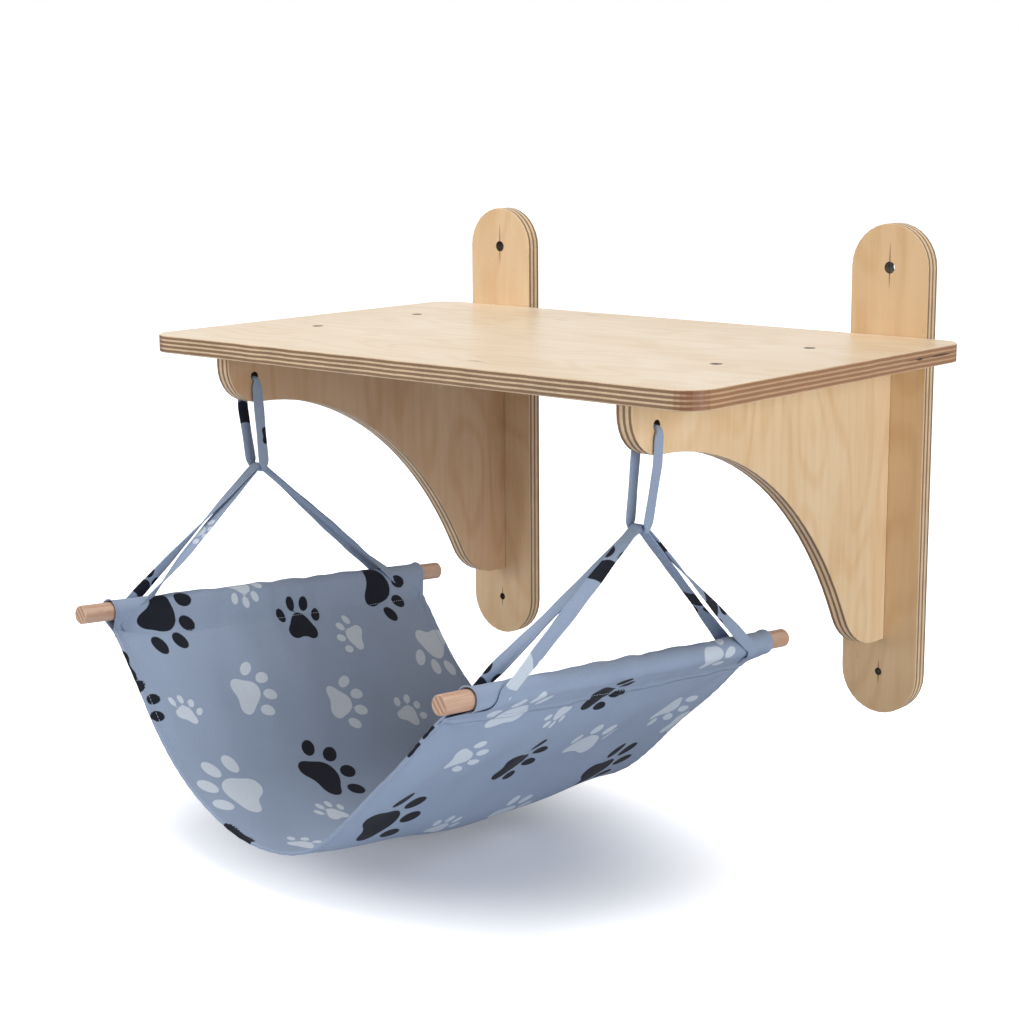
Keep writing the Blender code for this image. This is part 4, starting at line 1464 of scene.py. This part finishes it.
@dataclass
class Stitching:
    """Rows of short raised stitches, laid on the cloth's faces."""

    pitch: float = 3.7 * MM
    length: float = 2.7 * MM
    radius: float = 0.36 * MM
    squash: float = 0.8
    sides: int = 6
    # Along a stitch: places as shares of its length, its thickness there, and how far it lies off the cloth.
    shares: tuple[float, ...] = (-0.5, -0.38, 0.0, 0.38, 0.5)
    swell: tuple[float, ...] = (0.35, 0.85, 1.0, 0.85, 0.35)
    lift_mm: tuple[float, ...] = (-0.25, 0.05, 0.2, 0.05, -0.25)
    verts: list[Array] = field(default_factory=list)
    faces: list[tuple[int, ...]] = field(default_factory=list)

    def row(self, points: Array, normals: Array) -> None:
        """Sew one row along a line of the cloth's face.

        Args:
            points: the line's points on the face.
            normals: the face's outward normals there.
        """
        run = run_along(points)
        middles = np.arange(self.length / 2, run[-1] - self.length / 2, self.pitch)
        places = middles[:, None] + np.array(self.shares) * self.length
        centre, normal = (np.stack([np.interp(places, run, values) for values in line.T], axis=-1)[:, :, None]
                          for line in (points, normals))
        ahead = unit(np.gradient(centre, axis=1))
        beside = np.cross(ahead, normal)
        turn = np.arange(self.sides) * math.tau / self.sides
        swell = (np.array(self.swell) * self.radius)[:, None, None]
        lift = (np.array(self.lift_mm) * MM)[:, None, None]
        ring = (centre + normal * lift + normal * (np.sin(turn) * self.squash)[:, None] * swell
                + beside * np.cos(turn)[:, None] * swell)
        base = sum(len(block) for block in self.verts)
        self.verts.append(ring.reshape(-1, 3))
        rings = len(self.shares)
        for stitch in range(len(middles)):
            index = base + (stitch * rings + np.arange(rings)[:, None]) * self.sides + np.arange(self.sides)
            for here, there in zip(index[:-1], index[1:]):
                for side in range(self.sides):
                    after = (side + 1) % self.sides
                    self.faces.append((here[side], here[after], there[after], there[side]))
            self.faces.append(tuple(index[0, ::-1]))
            self.faces.append(tuple(index[-1]))

    def build(self, name: str, body: str) -> bpy.types.Object:
        """Make all the rows one piece.

        Args:
            name: the piece's name.
            body: the body that it rides on.

        Returns:
            The new object.
        """
        mesh = bpy.data.meshes.new(name)
        mesh.from_pydata(np.concatenate(self.verts).tolist(), [], self.faces)
        piece = add_piece(name, mesh)
        face_outwards(piece)
        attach(piece, body)
        return piece


# Straps


@dataclass
class StrapPath:
    """A strap's centre line with its face's normal and its half sizes at each point.

    The flat section runs from the edge in: section_places are shares of the half width, and section_depths
    the depth there, with a rounded edge and a groove where the strap is stitched. Where flatness is 0, the
    strap is bunched and its section is round.
    """

    centres: list[Vector]
    normals: list[Vector]
    half_widths: list[float]
    half_thicknesses: list[float]
    flatness: list[float]
    closed: bool = False
    section_places: tuple[float, ...] = (1.0, 0.985, 0.93, 0.84, 0.76, 0.7, 0.62, 0.3, 0.0)
    section_depths: tuple[float, ...] = (0.0, 0.6, 0.98, 1.0, 0.86, 0.5, 0.8, 0.92, 0.92)
    step: float = 2.2 * MM
    least_rings: int = 8
    # The width wavers by this share, over this length divided by tau.
    waver: float = 0.035
    waver_run: float = 7.3 * MM

    def spaced(self) -> tuple[Array, Array]:
        """Space the path evenly.

        Returns:
            Places along the strap, and the path's nine values at each.
        """
        keys = np.array([[*centre, *normal, *sizes] for centre, normal, *sizes in zip(
            self.centres, self.normals, self.half_widths, self.half_thicknesses, self.flatness)])
        if self.closed:
            keys = np.concatenate([keys, keys[:1]])
        run = run_along(keys[:, :3])
        places = np.linspace(0, run[-1], max(self.least_rings, int(run[-1] / self.step)) + 1)
        fine = np.stack([eased(places, run, values) for values in keys.T], axis=-1)
        return (places[:-1], fine[:-1]) if self.closed else (places, fine)

    def section(self) -> tuple[Array, Array, Array]:
        """The section's points, once round.

        Returns:
            Each point's place across, its face (1 or -1, and 0 at the edges), and its depth where flat.
        """
        half = np.array(self.section_places)
        across = np.concatenate([half, -half[::-1][1:], -half[1:], half[::-1][1:-1]])
        between = 2 * len(half) - 3
        above = np.array([0.0] + [1.0] * between + [0.0] + [-1.0] * between)
        return across, above, np.interp(np.abs(across), half[::-1], np.array(self.section_depths)[::-1])

    def build(self, name: str, patches: tuple[Paw, ...] = ()) -> bpy.types.Object:
        """Loft the strap along its path.

        Args:
            name: the piece's name.
            patches: the parts of the print that the strip was cut through.

        Returns:
            The new object, smooth, with a UV map in metres.
        """
        places, fine = self.spaced()
        centres, normals = fine[:, :3], fine[:, 3:6]
        half_width, half_thickness, flatness = fine[:, 6:7], fine[:, 7:8], fine[:, 8:9]
        if self.closed:
            along = unit(np.roll(centres, -1, axis=0) - np.roll(centres, 1, axis=0))
        else:
            along = unit(np.gradient(centres, axis=0))
        face = unit(normals - along * np.sum(normals * along, axis=1, keepdims=True))
        beside = np.cross(along, face)
        across, above, depth = self.section()
        waver = 1 + self.waver * np.sin(places[:, None] / self.waver_run) * flatness
        width = across * half_width * waver
        round_depth = np.sqrt(np.clip(1 - across * across, 0, 1))
        deep = above * ((1 - flatness) * round_depth + flatness * depth) * half_thickness
        verts = centres[:, None] + beside[:, None] * width[..., None] + face[:, None] * deep[..., None]
        index = np.arange(deep.size).reshape(deep.shape)
        here, there = (index, np.roll(index, -1, axis=0)) if self.closed else (index[:-1], index[1:])
        faces = np.stack([here, np.roll(here, -1, axis=1), np.roll(there, -1, axis=1), there],
                         axis=-1).reshape(-1, 4).tolist()
        if not self.closed:
            faces += [index[0, ::-1].tolist(), index[-1].tolist()]
        mesh = bpy.data.meshes.new(name)
        mesh.from_pydata(verts.reshape(-1, 3).tolist(), [], faces)
        mesh.validate()
        flat = np.stack([np.repeat(places, len(across)), width.ravel()], axis=-1)
        lay_flat(mesh, flat)
        piece = add_piece(name, mesh)
        face_outwards(piece)
        print_on(piece, patches, flat[:, 0] / MM, flat[:, 1] / MM)
        return piece


# A strap's leg: its centres and normals from its sewn end, and the angle at which it meets its ring.
Leg = tuple[list[tuple[Vector, Vector]], float]


@dataclass
class Straps:
    """The hanging loops and the two-ply slings, sewn from strips of the hammock's cloth."""

    hang: HammockFrame
    width: float = 13.0 * MM
    thickness: float = 1.4 * MM
    clearance: float = 0.5 * MM
    gap: float = 0.3 * MM
    # A loop: its half sizes where it is bunched, and the length over which it flattens.
    bunch: float = 2.6 * MM
    mouth: float = 3.2 * MM
    flattens: float = 9.5 * MM
    hole: float = 10.0 * MM
    corner: float = 3.2 * MM
    corner_step: float = math.radians(22.5)
    knee_radius: float = 14.0 * MM
    knee_drop: float = 35.0 * MM
    # A sling: where its ends are sewn in, and the shares of its plies' runs in which they turn.
    sewn_inset: float = 11.0 * MM
    sewn_rise: float = 1.5 * MM
    sleeve_outside: float = 11.0 * MM
    beyond_tip: float = 2.6 * MM
    sleeve_length: float = 432.0 * MM
    inner_turning: float = 0.5
    outer_turning: float = 1.0
    flight_steps: int = 24
    flank_steps: int = 3
    wrap_steps: int = 12
    crown_steps: int = 12

    def build(self) -> list[bpy.types.Object]:
        """Make the loops and slings of both sides.

        Returns:
            The new pieces.
        """
        pieces = []
        inner_ring = self.bunch + self.gap + self.thickness / 2
        outer_ring = inner_ring + self.thickness + self.clearance
        for side in Side:
            loop = self.loop_path(side).build(f"{side.word}_loop_strap", LOOP_PATCHES[side])
            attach(loop, f"{side.word}_loop")
            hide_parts(f"{side.word}_hanging_loop")
            pieces.append(loop)
            for word, leg, radius in (("inner", self.inner_leg, inner_ring),
                                      ("outer", self.outer_leg, outer_ring)):
                patches = SLING_PATCHES[side, word]
                sling = self.sling_path(side, leg, radius).build(f"{side.word}_{word}_sling_strap", patches)
                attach(sling, "hammock")
                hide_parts(f"{side.word}_{word}_sling")
                pieces.append(sling)
        log.info("straps: %d pieces", len(pieces))
        return pieces

    def loop_path(self, side: Side) -> StrapPath:
        """The closed band through the bracket's strap hole, bunched at both its bars.

        Args:
            side: which bracket.

        Returns:
            The strap's path.
        """
        sag = self.hole / 2 - self.bunch - self.gap
        top = self.hang.ply / 2 + self.gap + self.bunch
        foot = self.width / 2 + self.clearance + self.bunch
        knee = self.hang.ply / 2 + self.clearance + self.thickness / 2
        u = self.hang.junction_inwards
        corners = [(-top, -sag, self.corner), (top, -sag, self.corner),
                   (u + foot, -self.hang.loop_length, self.corner),
                   (u - foot, -self.hang.loop_length, self.corner),
                   (-knee, -self.knee_drop, self.knee_radius)]
        line = self.spread(self.rounded(corners))
        centres, normals, widths, thicknesses, flatness = [], [], [], [], []
        for index, (inwards, z) in enumerate(line):
            before, after = line[index - 1], line[(index + 1) % len(line)]
            along = Vector((after[0] - before[0], 0.0, after[1] - before[1])).normalized()
            flat = float(smooth_step(min(-sag - z, z + self.hang.loop_length) / self.flattens))
            gathered = self.mouth if z > -self.hang.loop_length / 2 else self.bunch
            centres.append(Vector((self.hang.middle(side) - side.value * inwards, self.hang.hole_y,
                                   self.hang.hole_z + z)))
            normals.append(Vector((-side.value * along.z, 0.0, -along.x)))
            widths.append(gathered + (self.width / 2 - gathered) * flat)
            thicknesses.append(self.bunch + (self.thickness / 2 - self.bunch) * flat)
            flatness.append(flat)
        return StrapPath(centres, normals, widths, thicknesses, flatness, closed=True)

    def rounded(self, corners: list[Point]) -> list[tuple[float, float]]:
        """Round the corners of a closed outline.

        Args:
            corners: each corner's place and radius.

        Returns:
            The outline's points.
        """
        points = []
        for index, (u, z, radius) in enumerate(corners):
            here = Vector((u, z))
            before, after = Vector(corners[index - 1][:2]), Vector(corners[(index + 1) % len(corners)][:2])
            back, ahead = (before - here).normalized(), (after - here).normalized()
            half = back.angle(ahead) / 2
            reach = radius / math.tan(half)
            centre = here + (back + ahead).normalized() * (radius / math.sin(half))
            first, last = here + back * reach, here + ahead * reach
            start = math.atan2(first.y - centre.y, first.x - centre.x)
            bend = math.pi - 2 * half
            if (first - centre).cross(last - centre) < 0:
                bend = -bend
            steps = max(2, round(abs(bend) / self.corner_step))
            for step in range(steps + 1):
                angle = start + bend * step / steps
                points.append((centre.x + radius * math.cos(angle), centre.y + radius * math.sin(angle)))
        return points

    def spread(self, path: list[tuple[float, float]]) -> list[tuple[float, float]]:
        """Divide a closed path's long straight stretches, closely near their ends.

        Args:
            path: the path's points.

        Returns:
            The path with more points.
        """
        out = []
        for here, there in zip(path, path[1:] + path[:1]):
            run = math.dist(here, there)
            out.append(here)
            if run > self.width / 2:
                pieces = max(4, 2 * math.ceil(run / self.width))
                for step in range(1, pieces):
                    share = (1 - math.cos(math.pi * step / pieces)) / 2
                    out.append((here[0] + (there[0] - here[0]) * share,
                                here[1] + (there[1] - here[1]) * share))
        return out

    @staticmethod
    def polar(angle: float) -> Vector:
        """Unit vector at an angle in the plane across the dowels."""
        return Vector((math.cos(angle), 0.0, math.sin(angle)))

    def ring_point(self, radius: float, angle: float) -> Vector:
        """A point on a sling's ring about the loop's foot."""
        return Vector((self.hang.junction_inwards, radius * math.cos(angle), radius * math.sin(angle)))

    def sewn_place(self, front: bool) -> float:
        """Where along the dowel a sling is sewn in."""
        half = self.sleeve_length / 2 - self.sewn_inset
        return self.hang.setback - half if front else self.hang.setback + half

    @staticmethod
    def ring_contact(radius: float, anchor: Vector, front: bool) -> float:
        """The angle at which a straight run leaves a sling's ring.

        Args:
            radius: the ring's radius.
            anchor: the run's far end.
            front: whether it is the front run.

        Returns:
            The angle in radians.
        """
        bearing = math.atan2(anchor.z, anchor.y) % math.tau
        swing = math.acos(radius / math.hypot(anchor.y, anchor.z))
        return bearing - swing if front else bearing + swing - math.tau

    def flight(self, start: Vector, start_normal: Vector, end: Vector, contact: float,
               turning: float) -> list[tuple[Vector, Vector]]:
        """A strap's straight run to its ring, its face turning on the way.

        Args:
            start: where the run starts.
            start_normal: the face's normal there.
            end: where it meets the ring.
            contact: the ring's angle there.
            turning: the share of the run, from its start, in which the face turns.

        Returns:
            Centres and normals.
        """
        along = end - start
        axis = along.normalized()
        end_normal = Vector((0.0, math.cos(contact), math.sin(contact)))
        first = (start_normal - axis * start_normal.dot(axis)).normalized()
        second = (end_normal - axis * end_normal.dot(axis)).normalized()
        angle = math.atan2(first.cross(second).dot(axis), first.dot(second))
        leg = []
        for step in range(self.flight_steps):
            share = step / self.flight_steps
            turned = Matrix.Rotation(angle * float(smooth_step(share / turning)), 3, axis) @ first
            leg.append((start + along * share, turned))
        return leg

    def seam_corner(self, side: Side, front: bool) -> tuple[Vector, float, float, float]:
        """Where a sling meets its sleeve.

        Args:
            side: which side's sling.
            front: whether it is the front run.

        Returns:
            The dowel's middle, and the seam's distance from it, its angle, and the angle from there to where
            the sleeve's flank leaves its round.
        """
        dowel = Vector((self.hang.dowel_inwards, 0.0, -self.hang.sling_height))
        tip, tip_angle = self.hang.corner(side, front)
        tip += self.beyond_tip
        return dowel, tip, tip_angle, math.acos(self.sleeve_outside / tip)

    def inner_leg(self, side: Side, front: bool) -> Leg:
        """An inner ply from its sewn end, over the sleeve's inner flank, to its ring.

        Args:
            side: which side's sling.
            front: whether it is the front run.

        Returns:
            Centres and normals, and the ring's contact angle.
        """
        dowel, tip, tip_angle, flank = self.seam_corner(side, front)
        offset = self.gap + self.thickness / 2
        normal = self.polar(tip_angle + flank)
        up_flank = self.polar(tip_angle + flank + math.pi / 2)
        sewn = dowel + self.polar(tip_angle) * tip + up_flank * self.sewn_rise + normal * offset
        sewn.y = self.sewn_place(front)
        radius = self.bunch + offset
        contact = self.ring_contact(radius, sewn, front)
        facing = -normal if front else normal
        end = self.ring_point(radius, contact)
        return self.flight(sewn, facing, end, contact, self.inner_turning), contact

    def outer_leg(self, side: Side, front: bool) -> Leg:
        """An outer ply up the under flank, round the sleeve's outside, and to its ring.

        Args:
            side: which side's sling.
            front: whether it is the front run.

        Returns:
            Centres and normals, and the ring's contact angle.
        """
        dowel, tip, tip_angle, flank_angle = self.seam_corner(side, front)
        offset = self.gap + self.thickness / 2
        wrap = self.sleeve_outside + offset
        flank = math.sqrt(tip ** 2 - self.sleeve_outside ** 2) - self.sewn_rise
        under = tip_angle - flank_angle
        contact = self.inner_leg(side, front)[1]
        end = self.ring_point(self.bunch + offset + self.thickness + self.clearance, contact)
        reach = end - Vector((dowel.x, end.y, dowel.z))
        leaving = math.atan2(reach.z, reach.x) + math.acos(wrap / reach.length) - math.tau
        land = dowel + self.polar(leaving) * wrap
        land.y = end.y + (end.z - land.z) * math.tan(contact)
        sewn_y = self.sewn_place(front)
        slope = (land.y - sewn_y) / (flank + wrap * (under - leaving))
        tangent = dowel + self.polar(under) * wrap
        down_flank = self.polar(under + math.pi / 2)
        leg = []
        for step in range(self.flank_steps):
            left = flank * (1 - step / self.flank_steps)
            point = tangent + down_flank * left
            point.y = sewn_y + slope * (flank - left)
            leg.append((point, self.polar(under)))
        for step in range(self.wrap_steps):
            angle = under + (leaving - under) * step / self.wrap_steps
            point = dowel + self.polar(angle) * wrap
            point.y = sewn_y + slope * (flank + wrap * (under - angle))
            leg.append((point, self.polar(angle)))
        return leg + self.flight(land, self.polar(leaving), end, contact, self.outer_turning), contact

    def sling_path(self, side: Side, leg: Callable[[Side, bool], Leg], radius: float) -> StrapPath:
        """One ply, from the front sewn end over the loop's foot to the rear one.

        Args:
            side: which side's sling.
            leg: the method that makes a leg.
            radius: the ply's ring about the loop's foot.

        Returns:
            The strap's path in the row frame.
        """
        front_leg, front_contact = leg(side, True)
        rear_leg, rear_contact = leg(side, False)
        crown = []
        for step in range(self.crown_steps + 1):
            angle = front_contact + (rear_contact - front_contact) * step / self.crown_steps
            crown.append((self.ring_point(radius, angle), Vector((0.0, math.cos(angle), math.sin(angle)))))
        path = front_leg + crown + rear_leg[::-1]
        middle = self.hang.middle(side)
        centres, normals = [], []
        for centre, normal in path:
            local = np.array([middle - side.value * centre.x, centre.y, centre.z])
            ahead = local + np.array([-side.value * normal.x, normal.y, normal.z])
            placed, tipped = self.hang.to_row(local), self.hang.to_row(ahead)
            centres.append(Vector(placed))
            normals.append(Vector(tipped - placed))
        count = len(path)
        return StrapPath(centres, normals, [self.width / 2] * count, [self.thickness / 2] * count,
                         [1.0] * count)


# Studio


@dataclass(frozen=True)
class Lamp:
    """A soft square lamp: where it stands, its side in metres and its power in watts."""

    name: str
    place: Point
    size: float
    power: float


@dataclass
class Studio:
    """Camera, lamps, floor and backdrop."""

    camera_place: Point = (1.34549, -1.83365, 0.23774)
    azimuth: float = math.radians(41.27)
    elevation: float = math.radians(11.24)
    roll: float = math.radians(-0.41)
    lens: float = 73.29
    sensor_width: float = 36.0
    sees_to: float = 50.0
    target: Point = (0.0, -0.25, -0.15)
    lamps: tuple[Lamp, ...] = (Lamp("key", (2.95, -1.05, 0.42), 1.2, 36.0),
                               Lamp("top", (-0.2, -0.7, 2.1), 1.3, 29.0),
                               Lamp("fill", (-1.5, -2.7, 0.6), 1.4, 20.0))
    floor_height: float = -0.475
    floor_size: float = 30.0
    floor_colour: str = "eaedf3"
    # The shadow's ellipse, which the floor's glow leaves clear: the lamps' shadow shows only inside it, so
    # the ellipse paints the shadow's soft outline. Its middle and half sizes, the shares of them between
    # which the glow sets in, and its strength inside and outside.
    shadow_place: Point = (0.01, -0.43, 0.0)
    shadow_sizes: Point = (0.4, 0.25, 1.0)
    shadow_edge: tuple[float, float] = (0.3, 1.25)
    glow: tuple[float, float] = (0.12, 1.0)
    # The world's light on the object. The camera and reflections see it at a strength of 1.
    world_light: float = 0.34

    def build(self) -> None:
        """Set up everything that isn't part of the object."""
        self.add_camera()
        for lamp in self.lamps:
            self.add_lamp(lamp)
        self.add_floor()
        self.set_world()
        bpy.context.scene.view_settings.view_transform = "Standard"

    def add_camera(self) -> None:
        """Place the camera at the photograph's viewing angle."""
        a, e, r = self.azimuth, self.elevation, self.roll
        back = Vector((math.sin(a) * math.cos(e), -math.cos(a) * math.cos(e), math.sin(e)))
        right = Vector((math.cos(a), math.sin(a), 0.0))
        up = back.cross(right)
        right, up = right * math.cos(r) + up * math.sin(r), up * math.cos(r) - right * math.sin(r)
        data = bpy.data.cameras.new("camera")
        data.lens, data.sensor_width, data.clip_end = self.lens, self.sensor_width, self.sees_to
        camera = bpy.data.objects.new("camera", data)
        turned = Matrix((right, up, back)).transposed().to_4x4()
        camera.matrix_world = Matrix.Translation(self.camera_place) @ turned
        bpy.context.scene.collection.objects.link(camera)
        bpy.context.scene.camera = camera

    def add_lamp(self, lamp: Lamp) -> None:
        """Add a lamp that faces the object.

        Args:
            lamp: the lamp.
        """
        data = bpy.data.lights.new(lamp.name, "AREA")
        data.shape, data.size, data.energy = "SQUARE", lamp.size, lamp.power
        light = bpy.data.objects.new(lamp.name, data)
        light.location = lamp.place
        light.rotation_euler = (Vector(lamp.place) - Vector(self.target)).to_track_quat("Z", "Y").to_euler()
        bpy.context.scene.collection.objects.link(light)

    def add_floor(self) -> None:
        """A plain pale floor that reads as white, and keeps the object's shadow only inside an ellipse that
        paints its outline.
        """
        bpy.ops.object.select_all(action="DESELECT")
        bpy.ops.mesh.primitive_plane_add(size=self.floor_size, location=(0.0, 0.0, self.floor_height))
        floor = bpy.context.active_object
        floor.name = "floor"
        material, tree = start_material("pale_floor")
        place = add_node(tree, "TexCoord").outputs["Object"]
        away = add_node(tree, "Mapping", {"vector_type": "TEXTURE"}, Vector=place, Location=self.shadow_place,
                        Scale=self.shadow_sizes)
        away = add_node(tree, "VectorMath", LENGTH, i0=away)
        # The glow whitens the floor for the camera, less within the ellipse: there the lamps' shadow shows,
        # in a painted outline.
        glow = add_node(tree, "MapRange", {"interpolation_type": "SMOOTHSTEP"}, Value=away,
                        From_Min=self.shadow_edge[0], From_Max=self.shadow_edge[1],
                        To_Min=self.glow[0], To_Max=self.glow[1])
        seen = add_node(tree, "LightPath").outputs["Is Camera Ray"]
        finish_material(material, Base_Color=linear(self.floor_colour), Roughness=0.9, Specular_IOR_Level=0.0,
                        Emission_Color=(1.0, 1.0, 1.0, 1.0),
                        Emission_Strength=add_node(tree, "Math", MULTIPLY, i0=seen, i1=glow))
        dress(floor, material)

    def set_world(self) -> None:
        """White to the camera and in reflections, and a soft light on the object."""
        world = bpy.data.worlds.new("studio")
        bpy.context.scene.world = world
        world.use_nodes = True
        tree = world.node_tree
        path = add_node(tree, "LightPath").outputs
        shown = path["Is Camera Ray"]
        for ray in ("Is Glossy Ray", "Is Transmission Ray"):
            shown = add_node(tree, "Math", MAXIMUM, i0=shown, i1=path[ray])
        strength = add_node(tree, "Math", MULTIPLY_ADD, i0=shown, i1=1 - self.world_light,
                            i2=self.world_light)
        set_inputs(tree, tree.nodes["Background"], {"Color": (1.0, 1.0, 1.0, 1.0), "Strength": strength})


def main() -> None:
    """Build the scene in order."""
    logging.basicConfig(level=logging.INFO, format="%(name)s: %(message)s")
    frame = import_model()
    Studio().build()
    Woodwork().dress(frame["nodes"])
    beech = BeechDowel().material()
    for side in Side:
        dress(frame["nodes"][f"{side.word}_dowel"], beech)
    hang = HammockFrame()
    canvas = PrintedCanvas().material()
    cloth = HammockCloth(hang)
    dress(cloth.build(), canvas)
    dress(cloth.sew(), SewingThread().material())
    for strap in Straps(hang).build():
        dress(strap, canvas)


if __name__ == "__main__":
    main()
